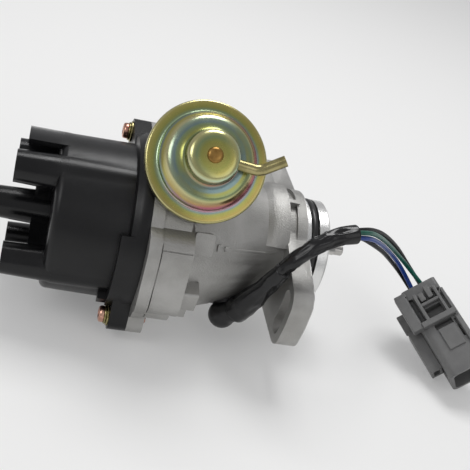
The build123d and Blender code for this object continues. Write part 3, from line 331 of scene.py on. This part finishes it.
def sleeveVinyl(s):
    material, tree, shader = startMaterial("sleeveVinyl", s["base"], s["roughness"], 0.0, s["specular"])
    place = objectPlace(tree)
    tone = toneFrom(tree, place, s["toneScale"], s["dark"], s["light"], s["toneDetail"])
    tree.links.new(tone, shader.inputs["Base Color"])
    shine = noiseFrom(tree, place, s["shineScale"], s["shineDetail"])
    tree.links.new(rangeFrom(tree, shine, *s["roughSpan"]), shader.inputs["Roughness"])
    addBump(tree, shader, [(noiseFrom(tree, place, s["creaseScale"]), s["creases"])], s["grainDepth"])
    return material


# look: material, dark and light tone, roughness, metallic, scale of the tone and of the grain, grain depth
finishes = {
    "pipeZinc": ("pipeZinc", (0.24, 0.21, 0.09), (0.50, 0.44, 0.22), 0.24, 1.0, 130, 1800, 0.02),
    "steel": ("machinedSteel", (0.42, 0.41, 0.39), (0.56, 0.55, 0.53), 0.33, 1.0, 90, 1800, 0.02),
    "bronze": ("sinteredBronze", (0.38, 0.27, 0.14), (0.52, 0.39, 0.22), 0.45, 1.0, 200, 3000, 0.03),
    "copperZinc": ("copperZinc", (0.36, 0.14, 0.11), (0.78, 0.48, 0.36), 0.24, 1.0, 180, 1800, 0.02),
    "rivetBrown": ("rivetBrown", (0.22, 0.12, 0.035), (0.44, 0.26, 0.08), 0.36, 1.0, 300, 1500, 0.03),
    "rubber": ("mouldedRubber", (0.005, 0.005, 0.005), (0.012, 0.012, 0.013), 0.38, 0.0, 120, 2200, 0.05),
    "ringRubber": ("ringRubber", (0.010, 0.010, 0.010), (0.016, 0.016, 0.016), 0.33, 0.0, 120, 1500, 0.03),
    "contact": ("contactMetal", (0.52, 0.42, 0.22), (0.74, 0.62, 0.36), 0.32, 1.0, 200, 1500, 0.02),
    "spring": ("springSteel", (0.45, 0.45, 0.45), (0.62, 0.62, 0.62), 0.28, 1.0, 200, 1500, 0.01),
    "carbon": ("carbonBlock", (0.02, 0.02, 0.02), (0.04, 0.04, 0.04), 0.55, 0.0, 300, 2000, 0.03),
    "potting": ("pottedCoil", (0.03, 0.03, 0.032), (0.055, 0.055, 0.06), 0.42, 0.0, 120, 2000, 0.03),
    "greyNylon": ("greyNylon", (0.120, 0.120, 0.120), (0.165, 0.165, 0.163), 0.44, 0.0, 90, 3000, 0.08),
}
looks = {look: mottled(*finish) for look, finish in finishes.items()}
looks["cast"] = castAluminium(castSettings)
looks["zinc"] = yellowZinc(zincSettings)
looks["capPlastic"] = capPlastic(capSettings)
looks["sleeve"] = sleeveVinyl(vinylSettings)
print("materials made")

# the lead: control points of its sleeve and wires, on the solids' route or close beside it
routes = {
    "lead_sleeve": [
        (-0.02525, -0.02892, -0.02149), (-0.02180, -0.03360, -0.01140), (-0.01880, -0.03840, -0.00120),
        (-0.01640, -0.04320, 0.01040), (-0.01200, -0.04560, 0.02120), (-0.00280, -0.04360, 0.02980),
        (0.00700, -0.03960, 0.03360), (0.01500, -0.03700, 0.03440),
    ],
    "wire_black": [
        (0.0145, -0.0356, 0.0354), (0.0217, -0.0304, 0.0341), (0.0294, -0.0231, 0.0306),
        (0.0366, -0.0164, 0.0264), (0.0435, -0.0101, 0.0215), (0.0504, -0.0039, 0.0160),
        (0.0575, 0.0022, 0.0099), (0.0650, 0.0079, 0.0030), (0.0728, 0.0118, -0.0047),
        (0.0811, 0.0106, -0.0123), (0.0856, 0.0043, -0.0160),
    ],
    "wire_green": [
        (0.0152, -0.0380, 0.0359), (0.0222, -0.0336, 0.0345), (0.0293, -0.0268, 0.0305),
        (0.0360, -0.0198, 0.0256), (0.0426, -0.0128, 0.0202), (0.0492, -0.0063, 0.0147),
        (0.0557, -0.0007, 0.0091), (0.0625, 0.0039, 0.0033), (0.0695, 0.0071, -0.0025),
        (0.0773, 0.0073, -0.0087), (0.0822, 0.0019, -0.0117),
    ],
    "wire_blue": [
        (0.0155, -0.0384, 0.0334), (0.0223, -0.0340, 0.0319), (0.0290, -0.0275, 0.0280),
        (0.0355, -0.0207, 0.0233), (0.0418, -0.0138, 0.0181), (0.0482, -0.0072, 0.0126),
        (0.0545, -0.0015, 0.0071), (0.0609, 0.0031, 0.0015), (0.0674, 0.0063, -0.0046),
        (0.0740, 0.0067, -0.0115), (0.0776, 0.0013, -0.0156),
    ],
    "wire_ground": [
        (0.0148, -0.0360, 0.0329), (0.0218, -0.0317, 0.0301), (0.0288, -0.0254, 0.0250),
        (0.0352, -0.0193, 0.0202), (0.0415, -0.0130, 0.0152), (0.0478, -0.0066, 0.0099),
        (0.0542, -0.0003, 0.0041), (0.0611, 0.0058, -0.0022), (0.0687, 0.0104, -0.0089),
        (0.0767, 0.0099, -0.0161), (0.0810, 0.0037, -0.0199),
    ],
}

sleeveSettings = {
    "radius": 0.0045, "sides": 14, "steps": 26,
    # folds round the sleeve, how they drift along it, their depth, and the smooth length at each end
    "folds": 1.1, "drift": 24.0, "depth": 0.0015, "calmEnd": 0.008,
}

# the sleeve's loose end, pulled over the boot's neck
cuffSettings = {
    "points": [(-0.0252, -0.0293, -0.0218), (-0.0222, -0.0342, -0.0124), (-0.0192, -0.0388, -0.0022),
               (-0.0172, -0.0424, 0.0072), (-0.0150, -0.0446, 0.0142)],
    "radii": [0.0066, 0.0063, 0.0057, 0.0050, 0.0040], "sides": 14, "steps": 16,
    "radius": 0.0040, "folds": 1.1, "drift": 40.0, "depth": 0.0012, "calmEnd": 0.005,
}

# a fold stands out and a crease cuts in; creases are narrower, drift faster and lie elsewhere
foldSettings = {"fold": 0.8, "crease": 1.5, "narrower": 2.3, "faster": 1.7, "elsewhere": (7, 3, 1)}

# each wire's look: material, dark and light tone, roughness, specular
wireSettings = {
    "radius": 0.00115, "sides": 6, "steps": 12,
    "toneScale": 160.0, "grainScale": 900.0, "grainDepth": 0.02, "roughSpread": 0.05,
    "wire_black": ("blackVinyl", (0.004, 0.004, 0.0045), (0.009, 0.009, 0.010), 0.42, 0.15),
    "wire_ground": ("groundVinyl", (0.004, 0.004, 0.0045), (0.009, 0.009, 0.010), 0.42, 0.15),
    "wire_green": ("greenVinyl", (0.004, 0.075, 0.052), (0.008, 0.12, 0.085), 0.30, 0.22),
    "wire_blue": ("blueVinyl", (0.008, 0.035, 0.20), (0.014, 0.06, 0.30), 0.30, 0.22),
}


def cordCurve(name, points, radius, sides, steps):
    data = bpy.data.curves.new(name, "CURVE")
    data.dimensions = "3D"
    data.bevel_depth = radius
    data.bevel_resolution = sides
    data.use_fill_caps = True
    data.resolution_u = steps
    spline = data.splines.new("NURBS")
    spline.points.add(len(points) - 1)
    for point, spot in zip(spline.points, points):
        point.co = (*spot, 1)
    spline.order_u = 3
    spline.use_endpoint_u = True
    return data


def placeCord(name, data, look):
    piece = bpy.data.objects.new(name, data)
    scene.collection.objects.link(piece)
    data.materials.append(look)
    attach(piece, "housing")
    return piece


def curveMesh(curve):
    holder = bpy.data.objects.new("holder", curve)
    mesh = bpy.data.meshes.new_from_object(holder)
    bpy.data.objects.remove(holder)
    return mesh


def centreLine(curve):
    line = curve.copy()
    line.bevel_depth = 0
    mesh = curveMesh(line)
    spots = [vertex.co.copy() for vertex in mesh.vertices]
    bpy.data.curves.remove(line)
    bpy.data.meshes.remove(mesh)
    return spots


def lineLength(spots):
    return sum((after - before).length for before, after in zip(spots, spots[1:]))


def wrinkle(mesh, spots, s):
    # long folds that run with the sleeve and drift round it, as loose vinyl takes them
    shape = bmesh.new()
    shape.from_mesh(mesh)
    bmesh.ops.remove_doubles(shape, verts=shape.verts, dist=weldGap)
    along = [0.0]
    for before, after in zip(spots, spots[1:]):
        along.append(along[-1] + (after - before).length)
    for vertex in shape.verts:
        nearest = min(range(len(spots)), key=lambda i: (spots[i] - vertex.co).length_squared)
        out = vertex.co - spots[nearest]
        if out.length < s["radius"] * 0.5:  # the middle of an end
            continue
        out.normalize()
        drift = Vector((0, 0, along[nearest] * s["drift"]))
        fold = noise.noise(out * s["folds"] + drift)
        crease = abs(noise.noise(out * s["folds"] * foldSettings["narrower"] + drift * foldSettings["faster"]
                                 + Vector(foldSettings["elsewhere"])))
        ends = min(along[nearest], along[-1] - along[nearest]) / s["calmEnd"]
        depth = s["depth"] * min(1, ends)
        vertex.co += out * depth * (fold * foldSettings["fold"] - crease * foldSettings["crease"])
    for face in shape.faces:
        face.smooth = True
    shape.to_mesh(mesh)
    shape.free()


def wrinkledTube(name, curve, line, s):
    mesh = curveMesh(curve)
    wrinkle(mesh, line, s)
    mesh.materials.clear()
    return placeCord(name, mesh, looks["sleeve"])


def makeSleeve(s, points):
    curve = cordCurve("leadSleeve", points, s["radius"], s["sides"], s["steps"])
    line = centreLine(curve)
    sleeve = wrinkledTube("leadSleeve", curve, line, s)
    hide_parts("lead_sleeve")


def makeCuff(s):
    curve = cordCurve("sleeveCuff", s["points"], 1.0, s["sides"], s["steps"])
    for point, radius in zip(curve.splines[0].points, s["radii"]):
        point.radius = radius
    wrinkledTube("sleeveCuff", curve, centreLine(curve), s)


def makeWire(s, node):
    material, dark, light, roughness, specular = s[node]
    look = mottled(material, dark, light, roughness, 0.0, s["toneScale"], s["grainScale"], s["grainDepth"],
                   s["roughSpread"], specular)
    curve = cordCurve(node + "_lead", routes[node], s["radius"], s["sides"], s["steps"])
    wire = placeCord(node + "_lead", curve, look)
    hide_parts(node)
    lineLength(centreLine(curve))


makeSleeve(sleeveSettings, routes["lead_sleeve"])
makeCuff(cuffSettings)
makeWire(wireSettings, "wire_black")
makeWire(wireSettings, "wire_green")
makeWire(wireSettings, "wire_blue")
makeWire(wireSettings, "wire_ground")
print("lead made")


def setPiece(name, mesh, body, look, replaced=None):
    piece = bpy.data.objects.new(name, mesh)
    scene.collection.objects.link(piece)
    mesh.materials.clear()
    mesh.materials.append(looks[look])
    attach(piece, body)
    if replaced:
        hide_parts(replaced)
    return piece


def meshFrom(shape, name, sharpAngle=35.0):
    limit = math.radians(sharpAngle)
    for face in shape.faces:
        face.smooth = True
    for edge in shape.edges:
        edge.smooth = len(edge.link_faces) == 2 and edge.calc_face_angle(0.0) < limit
    mesh = bpy.data.meshes.new(name)
    shape.to_mesh(mesh)
    shape.free()
    return mesh


def cleanCopy(node, gap=0.000004, flatAngle=0.4):
    # one closed shape from a solid's loose triangles, without the edges across its flat faces
    shape = bmesh.new()
    shape.from_mesh(nodes[node].data)
    bmesh.ops.remove_doubles(shape, verts=shape.verts, dist=gap)
    bmesh.ops.dissolve_limit(shape, angle_limit=math.radians(flatAngle),
                             verts=shape.verts, edges=shape.edges)
    return shape


def roundEdges(piece, width, segments=2, angle=34.0):
    bevel = piece.modifiers.new("edges", "BEVEL")
    bevel.width = width * milli
    bevel.segments = segments
    bevel.limit_method = "ANGLE"
    bevel.angle_limit = math.radians(angle)
    bevel.harden_normals = True
    bevel.use_clamp_overlap = True


def spunShape(outline, place, steps, sweep=math.tau):
    # outline: (radius, height) pairs about the local z axis, from axis to axis or closed
    full = sweep == math.tau
    shape = bmesh.new()
    spots = [shape.verts.new((radius * milli, 0, height * milli)) for radius, height in outline]
    for first, second in zip(spots, spots[1:]):
        shape.edges.new((first, second))
    bmesh.ops.spin(shape, geom=shape.verts[:] + shape.edges[:], cent=(0, 0, 0), axis=(0, 0, 1),
                   angle=sweep, steps=steps, use_merge=full)
    bmesh.ops.remove_doubles(shape, verts=shape.verts, dist=weldGap)
    if not full:
        bmesh.ops.holes_fill(shape, edges=[edge for edge in shape.edges if len(edge.link_faces) == 1])
    bmesh.ops.recalc_face_normals(shape, faces=shape.faces)
    bmesh.ops.transform(shape, matrix=place, verts=shape.verts)
    return shape


def blockShape(blocks, place, corner=0.0, segments=5):
    # blocks: (left, right, bottom, top, rear, front); corner rounds their edges along the local z axis
    shape = bmesh.new()
    for left, right, bottom, top, rear, front in blocks:
        middle = Vector((left + right, bottom + top, rear + front)) * milli / 2
        spread = Matrix.Diagonal(((right - left) * milli, (top - bottom) * milli, (front - rear) * milli, 1))
        bmesh.ops.create_cube(shape, size=1.0, matrix=Matrix.Translation(middle) @ spread)
    if corner:
        long = [edge for edge in shape.edges
                if abs((edge.verts[0].co - edge.verts[1].co).normalized().z) > 0.9]
        bmesh.ops.bevel(shape, geom=long, offset=corner * milli, offset_type="OFFSET", segments=segments,
                        profile=0.5, affect="EDGES", material=-1)
    bmesh.ops.transform(shape, matrix=place, verts=shape.verts)
    return shape


def joined(shapes):
    whole = bmesh.new()
    for shape in shapes:
        spare = bpy.data.meshes.new("spare")
        shape.to_mesh(spare)
        shape.free()
        whole.from_mesh(spare)
        bpy.data.meshes.remove(spare)
    return whole


def carvingHelper(shape):
    mesh = bpy.data.meshes.new("carving")
    shape.to_mesh(mesh)
    shape.free()
    helper = bpy.data.objects.new("carving", mesh)
    scene.collection.objects.link(helper)
    return helper


def carved(base, *changes):
    # changes: (shape, "UNION" or "DIFFERENCE") pairs, made one after the other
    whole = carvingHelper(base)
    helpers = [whole]
    for shape, operation in changes:
        helpers.append(carvingHelper(shape))
        change = whole.modifiers.new("change", "BOOLEAN")
        change.operation = operation
        change.solver = "EXACT"
        change.object = helpers[-1]
    ready = whole.evaluated_get(bpy.context.evaluated_depsgraph_get())
    mesh = bpy.data.meshes.new_from_object(ready)
    for helper in helpers:
        spare = helper.data
        bpy.data.objects.remove(helper)
        bpy.data.meshes.remove(spare)
    result = bmesh.new()
    result.from_mesh(mesh)
    bpy.data.meshes.remove(mesh)
    return result


def alongX(x, y=0.0, z=0.0):
    # local z axis turned to point along +X, its start in metres
    place = Matrix(((0, 0, 1), (0, 1, 0), (-1, 0, 0))).to_4x4()
    place.translation = (x, y, z)
    return place


def onWall(x, angle, radius=0.0, slope=0.0):
    # a place on the housing's wall, local z running away from the cap, y outwards and x upwards at the
    # front; the angle counts from +Y towards +Z, and the wall turns away from the axis by the slope
    angle, slope = math.radians(angle), math.radians(slope)
    along, out = Vector((1, 0, 0)), Vector((0, math.cos(angle), math.sin(angle)))
    away = out * math.cos(slope) - along * math.sin(slope)
    run = along * math.cos(slope) + out * math.sin(slope)
    place = Matrix((away.cross(run), away, run)).transposed().to_4x4()
    place.translation = Vector((x * milli, 0, 0)) + out * radius * milli
    return place


# node: piece, body, slot, look and the width of its softened edges, each in the solid's own shape
dressed = {
    "housing": ("castBody", "housing", "cast_aluminium", "cast", 0.5),
    "distributor_cap": ("capShell", "housing", "cap_plastic", "capPlastic", 0.5),
    "drive_coupling": ("couplingBody", "shaft", "steel_coupling", "steel", 0.3),
    "connector_clip": ("connectorRail", "housing", "connector_grey", "greyNylon", 0.4),
    "lead_grommet": ("bootRubber", "housing", "black_rubber", "rubber", 0.6),
    "vacuum_pipe": ("pipeTube", "housing", "zinc_yellow", "pipeZinc", 0.2),
}

# cut into the casting: the dark joint beside its rim, and the crease across its block
seamSettings = {
    "inner": 48.0, "outer": 60.0, "start": -71.5, "width": 0.65, "from": 150.0, "to": 213.0, "steps": 60,
    "creaseAngle": 161.0, "crease": (-0.3, 0.3, 48.7, 60.0, 0.0, 14.0),
}


def seamShape(s):
    outline = [(s["inner"], 0), (s["outer"], 0), (s["outer"], s["width"]), (s["inner"], s["width"]),
               (s["inner"], 0)]
    turn = Matrix.Rotation(math.radians(s["from"] + 90), 4, "Z")  # a spin starts a quarter before +Y
    sweep = math.radians(s["to"] - s["from"])
    return spunShape(outline, alongX(s["start"] * milli) @ turn, s["steps"], sweep)


def creaseShape(s):
    return blockShape([s["crease"]], onWall(s["start"], s["creaseAngle"]))


for node, (name, body, slot, look, edge) in dressed.items():
    shape = cleanCopy(node)
    if node == "housing":
        shape = carved(shape, (seamShape(seamSettings), "DIFFERENCE"),
                       (creaseShape(seamSettings), "DIFFERENCE"))
    roundEdges(setPiece(name, meshFrom(shape, name), body, look, node), edge)
print("castings and mouldings dressed")

# cap screws, heights from the lug's face towards the thread
capScrewSettings = {
    "headLength": 4.6, "washerRadius": 5.2,  # as in the solids, to find the lug's face and the axes
    "head": [(0, -3.2), (1.0, -3.2), (1.7, -4.2), (2.2, -4.6), (3.2, -4.5), (3.75, -4.0), (3.9, -3.2),
             (3.9, -2.3), (3.6, -2.0), (2.4, -2.0), (2.4, 0.0)],
    "tip": [(2.4, -0.9), (1.5, 0.0), (0.0, 0.0)],  # heights from its end
    "lockWasher": [(2.6, -2.05), (4.3, -2.0), (4.5, -1.75), (4.5, -1.35), (4.3, -1.1), (2.6, -1.05),
                   (2.6, -2.05)],
    "flatWasher": [(2.6, -1.0), (4.9, -0.95), (5.15, -0.75), (5.15, -0.2), (4.95, 0.0), (2.6, 0.0),
                   (2.6, -1.0)],
    "steps": 40, "sharpAngle": 40,
}


def makeCapScrews(s):
    low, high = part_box("cap_screws")
    face, inset = low[0] + s["headLength"] * milli, s["washerRadius"] * milli
    places = [alongX(face, side * (high[1] - inset), side * (high[2] - inset)) for side in (1, -1)]
    end = (high[0] - face) / milli
    screw = s["head"] + [(radius, end + height) for radius, height in s["tip"]]
    for name, look, replaced, outlines in (
            ("capScrewSet", "copperZinc", "cap_screws", [screw]),
            ("capScrewWashers", "pipeZinc", None, [s["lockWasher"], s["flatWasher"]])):
        whole = joined(spunShape(outline, place, s["steps"]) for place in places for outline in outlines)
        setPiece(name, meshFrom(whole, name, s["sharpAngle"]), "housing", look, replaced)


makeCapScrews(capScrewSettings)
print("cap screws made")

# small marks that the mould leaves on the casting, as blocks on its wall
castMarkSettings = {
    "edge": 0.25,
    "marks": [
        # parting line
        {"x": -41.0, "angle": 158.0, "radius": 34.8, "slope": -16.3, "corner": 0.15, "blocks": [
            (-0.5, 0.5, -1.0, 0.5, 0, 31.0)]},
        # two lumps at its start
        {"x": -41.0, "angle": 158.0, "radius": 34.8, "slope": -16.3, "corner": 0.4, "blocks": [
            (-1.7, 1.7, -1.0, 0.9, -3.6, -1.2), (-1.4, 1.1, -1.0, 0.75, 0.4, 2.4)]},
        # stepped lug under the rim
        {"x": -58.0, "angle": 195.0, "radius": 0.0, "slope": 0.0, "corner": 1.2, "blocks": [
            (-5.5, 6.0, 36.5, 45.4, 0, 9.0), (-12.5, -5.0, 36.5, 44.2, 0, 6.0)]},
    ],
}


def makeCastMarks(s):
    shapes = []
    for mark in s["marks"]:
        place = onWall(mark["x"], mark["angle"], mark["radius"], mark["slope"])
        shapes.append(blockShape(mark["blocks"], place, mark["corner"]))
    marks = meshFrom(joined(shapes), "castMarks")
    roundEdges(setPiece("castMarks", marks, "housing", "cast"), s["edge"])


makeCastMarks(castMarkSettings)
print("marks on the casting made")

# the connector, from its rear end, where the wires enter, to its open front
connectorSettings = {
    "rear": (0.0816, 0.0028, -0.0158), "axis": (0.33, -0.91, -0.25), "side": (0.759, 0.0986, 0.643),
    "rearBlock": (-10, 10, -8.5, 8.5, 0, 16), "rearCorner": 2.0,
    "body": (-11, 11, -10.5, 10.5, 14, 54), "bodyCorner": 4.0, "bodyEdge": 0.4,
    "cavity": (-9.2, 9.2, -8.7, 8.7, 30, 60), "cavityCorner": 2.6,
    "sealPocket": (-6.75, 6.75, -6.25, 6.25, -1, 4),
    "recesses": [
        (-3.9, 5.0, 5.2, 12, 15.6, 21.4),  # latch window
        (-9.3, -6.3, 5.6, 12, 6.0, 22.4),  # slot beside the wide rail
        (-4.2, 5.6, 6.4, 12, 25.6, 29.0),  # step in front of the cross bar
        (6.2, 7.4, 8.4, 12, 27.0, 38.0),  # slot beside the lock pad
        (-12, -9.6, -3.4, 3.4, 40.0, 50.0),
    ],
    "frameEdge": 0.45,
    "frame": [
        (-15.2, -9.6, 8.6, 13.0, 4.4, 25.2),  # wide rail
        (-15.0, -8.6, 6.6, 12.2, 2.4, 5.0),
        (-10.4, -9.0, 4.0, 11.6, 5.0, 24.0),
        (-6.2, -4.4, 7.8, 13.6, 6.6, 23.0),  # middle rail
        (5.2, 6.8, 7.8, 13.4, 6.6, 23.0),  # right rail
        (8.3, 9.9, 6.8, 12.8, 9.4, 26.6),  # outer wall
        (-4.6, 5.4, 10.6, 13.2, 12.8, 14.6),  # cross bar
        (-3.4, -0.4, 7.8, 12.2, 6.8, 11.6),  # latch tongue
        (1.0, 3.8, 7.8, 12.6, 4.2, 11.6),
        (-9.6, 9.8, 10.2, 13.6, 22.4, 25.6),  # front bar
        (4.8, 8.9, 7.0, 11.4, 5.6, 8.2),
        (-3.6, 5.2, 9.8, 11.4, 29.0, 41.5),  # lock pad
        (7.6, 9.6, 9.6, 12.0, 26.0, 41.5),
        (-18.0, -9.4, -1.2, 0.8, 7.8, 19.6),  # guard fin
    ],
}


def connectorMatrix(s):
    axis = Vector(s["axis"]).normalized()
    side = Vector(s["side"])
    side = (side - axis * side.dot(axis)).normalized()
    place = Matrix((side, axis.cross(side), axis)).transposed().to_4x4()
    place.translation = s["rear"]
    return place


def makeConnector(s):
    place = connectorMatrix(s)
    shell = carved(blockShape([s["rearBlock"]], place, s["rearCorner"]),
                   (blockShape([s["body"]], place, s["bodyCorner"]), "UNION"),
                   (blockShape([s["cavity"]], place, s["cavityCorner"]), "DIFFERENCE"),
                   (blockShape([s["sealPocket"]], place), "DIFFERENCE"),
                   (blockShape(s["recesses"], place), "DIFFERENCE"))
    body = setPiece("connectorBody", meshFrom(shell, "connectorBody"), "housing",
                    "greyNylon", "connector_shell")
    roundEdges(body, s["bodyEdge"])
    rails = setPiece("connectorFrame", meshFrom(blockShape(s["frame"], place), "connectorFrame"), "housing",
                     "greyNylon")
    roundEdges(rails, s["frameEdge"], 3)


makeConnector(connectorSettings)
print("connector made")

# the canister's pressed face and the rivet at its middle
coverSettings = {
    "rim": 27.45, "step": 21.9, "shoulder": 19.6, "boss": 11.8, "bossHeight": 16.5, "sheet": 1.1, "lip": 0.9,
    "steps": 160, "sharpAngle": 50,
}
rivetSettings = {
    "base": 16.5, "steps": 48, "sharpAngle": 60,
    "outline": [(0, 0.0), (3.5, 0.0), (3.5, 0.35), (3.1, 0.9), (2.3, 1.25), (1.2, 1.35), (0, 1.38)],
}


def coverOutline(s):
    # outside from the boss to the rim, then back along the inside
    rim, lip, step, shoulder = s["rim"], s["rim"] - s["lip"], s["step"], s["shoulder"]
    boss, top, sheet = s["boss"], s["bossHeight"], s["sheet"]
    return [
        (0.0, top), (boss - 4.0, top), (boss - 2.6, top - 0.15), (boss - 1.2, top - 0.7),
        (boss - 0.35, top - 1.6), (boss, top - 2.9), (boss, 11.4), (boss + 0.35, 10.4), (boss + 1.2, 9.75),
        (boss + 2.6, 9.4), (shoulder - 2.6, 8.8), (shoulder - 1.1, 8.3), (shoulder - 0.25, 7.4),
        (shoulder + 0.3, 6.2), (step - 1.2, 5.3), (step - 0.35, 4.6), (step, 3.8), (step, 2.3),
        (step + 0.35, 1.9), (step + 0.9, 1.8), (rim - 1.0, 1.8), (rim - 0.3, 1.55), (rim, 0.9), (rim, -1.6),
        (rim - 0.3, -2.2), (rim - 0.9, -2.4), (lip - 0.1, -2.4), (lip, 0.7), (step - sheet, 0.7),
        (step - sheet, 3.6), (shoulder - sheet, 6.0), (shoulder - sheet - 1.4, 7.5), (boss, 8.8),
        (boss - sheet, 10.2), (boss - sheet, top - 2.2), (boss - sheet - 1.0, top - sheet),
        (0.0, top - sheet),
    ]


def makeCanister(cover, rivet):
    face = spunShape(coverOutline(cover), canisterPlace, cover["steps"])
    setPiece("canisterFace", meshFrom(face, "canisterFace", cover["sharpAngle"]), "housing",
             "zinc", "canister_cover")
    top = canisterPlace @ Matrix.Translation((0, 0, rivet["base"] * milli))
    head = spunShape(rivet["outline"], top, rivet["steps"])
    setPiece("canisterRivet", meshFrom(head, "canisterRivet", rivet["sharpAngle"]), "housing",
             "rivetBrown", "canister_rivet")


makeCanister(coverSettings, rivetSettings)
print("canister made")

# looks of the solids that stay as they are
plainLooks = {
    "spigot_o_ring": "ringRubber", "shaft_bushes": "bronze", "shaft_oil_seal": "rubber",
    "thrust_washer": "steel", "base_plate": "steel", "plate_screws": "copperZinc",
    "dust_cover": "capPlastic", "cap_seal": "rubber", "cap_terminals": "contact",
    "centre_terminal": "contact", "brush_spring": "spring", "canister_rear_shell": "zinc",
    "diaphragm": "rubber", "diaphragm_spring": "spring", "canister_bracket": "zinc",
    "canister_screws": "copperZinc", "connector_seal": "rubber", "connector_pins": "contact",
    "drive_shaft": "steel", "coupling_pin": "steel", "advance_base": "steel", "cam_sleeve": "steel",
    "reluctor": "steel", "rotor_arm": "capPlastic", "rotor_contact": "contact",
    "advance_weight_a": "steel", "advance_weight_b": "steel", "breaker_plate": "steel",
    "link_pin": "steel", "stator_ring": "steel", "pickup_coil": "potting", "ignition_unit": "potting",
    "diaphragm_link": "steel", "carbon_brush": "carbon",
}
for node, look in plainLooks.items():
    mesh = nodes[node].data
    mesh.materials.clear()
    mesh.materials.append(looks[look])
print("finishes given")

stageSettings = {
    "floorHeight": -0.0441, "floorSize": 6.0,
    "paper": (0.86, 0.86, 0.85), "paperRoughness": 0.6, "paperGlow": 0.2,
    "sky": (0.98, 0.98, 1.0), "skyStrength": 0.42, "backdrop": 0.93,
}


def paleFloor(s):
    material, tree, shader = startMaterial("palePaper", s["paper"], s["paperRoughness"])
    rays = addNode(tree, "ShaderNodeLightPath").outputs
    mirrored = mathNode(tree, "MAXIMUM", rays["Is Glossy Ray"], rays["Is Transmission Ray"])
    seen = mathNode(tree, "MAXIMUM", rays["Is Camera Ray"], mirrored)
    glow = addNode(tree, "ShaderNodeEmission", Strength=1.0)
    mix = addNode(tree, "ShaderNodeMixShader")
    tree.links.new(mathNode(tree, "MULTIPLY", seen, s["paperGlow"]), mix.inputs[0])
    tree.links.new(shader.outputs[0], mix.inputs[1])
    tree.links.new(glow.outputs[0], mix.inputs[2])
    tree.links.new(mix.outputs[0], tree.nodes["Material Output"].inputs["Surface"])
    return material


def makeFloor(s):
    shape = bmesh.new()
    bmesh.ops.create_grid(shape, x_segments=1, y_segments=1, size=s["floorSize"] / 2,
                          matrix=Matrix.Translation((0, 0, s["floorHeight"])))
    mesh = bpy.data.meshes.new("table")
    shape.to_mesh(mesh)
    shape.free()
    table = bpy.data.objects.new("table", mesh)
    scene.collection.objects.link(table)
    mesh.materials.append(paleFloor(s))


def makeWorld(s):
    world = bpy.data.worlds.new("studio")
    scene.world = world
    world.use_nodes = True
    tree = world.node_tree
    background = tree.nodes["Background"]
    background.inputs["Color"].default_value = (*s["sky"], 1)
    background.inputs["Strength"].default_value = s["skyStrength"]
    white = addNode(tree, "ShaderNodeBackground", Strength=s["backdrop"])
    path = addNode(tree, "ShaderNodeLightPath")
    mix = addNode(tree, "ShaderNodeMixShader")
    tree.links.new(path.outputs["Is Camera Ray"], mix.inputs[0])
    tree.links.new(background.outputs[0], mix.inputs[1])
    tree.links.new(white.outputs[0], mix.inputs[2])
    tree.links.new(mix.outputs[0], tree.nodes["World Output"].inputs["Surface"])


lampSettings = {
    "target": (-0.03, 0, 0),
    "lamps": [
        {"name": "ceilingLamp", "place": (0.06, 0.40, 0.98), "size": 0.5, "power": 5.8},
        {"name": "leftLamp", "place": (-0.9, -0.5, 0.8), "size": 0.5, "power": 2.4},
        {"name": "frontLamp", "place": (0.5, -1.0, 0.6), "size": 0.8, "power": 1.6},
    ],
}


def makeLamps(s):
    for setup in s["lamps"]:
        data = bpy.data.lights.new(setup["name"], "AREA")
        data.shape = "SQUARE"
        data.size = setup["size"]
        data.energy = setup["power"]
        lamp = bpy.data.objects.new(setup["name"], data)
        scene.collection.objects.link(lamp)
        place = Vector(setup["place"])
        lamp.location = place
        lamp.rotation_euler = (Vector(s["target"]) - place).to_track_quat("-Z", "Y").to_euler()


makeFloor(stageSettings)
makeWorld(stageSettings)
makeLamps(lampSettings)
scene.view_settings.view_transform = "Standard"
print("table and lamps placed")
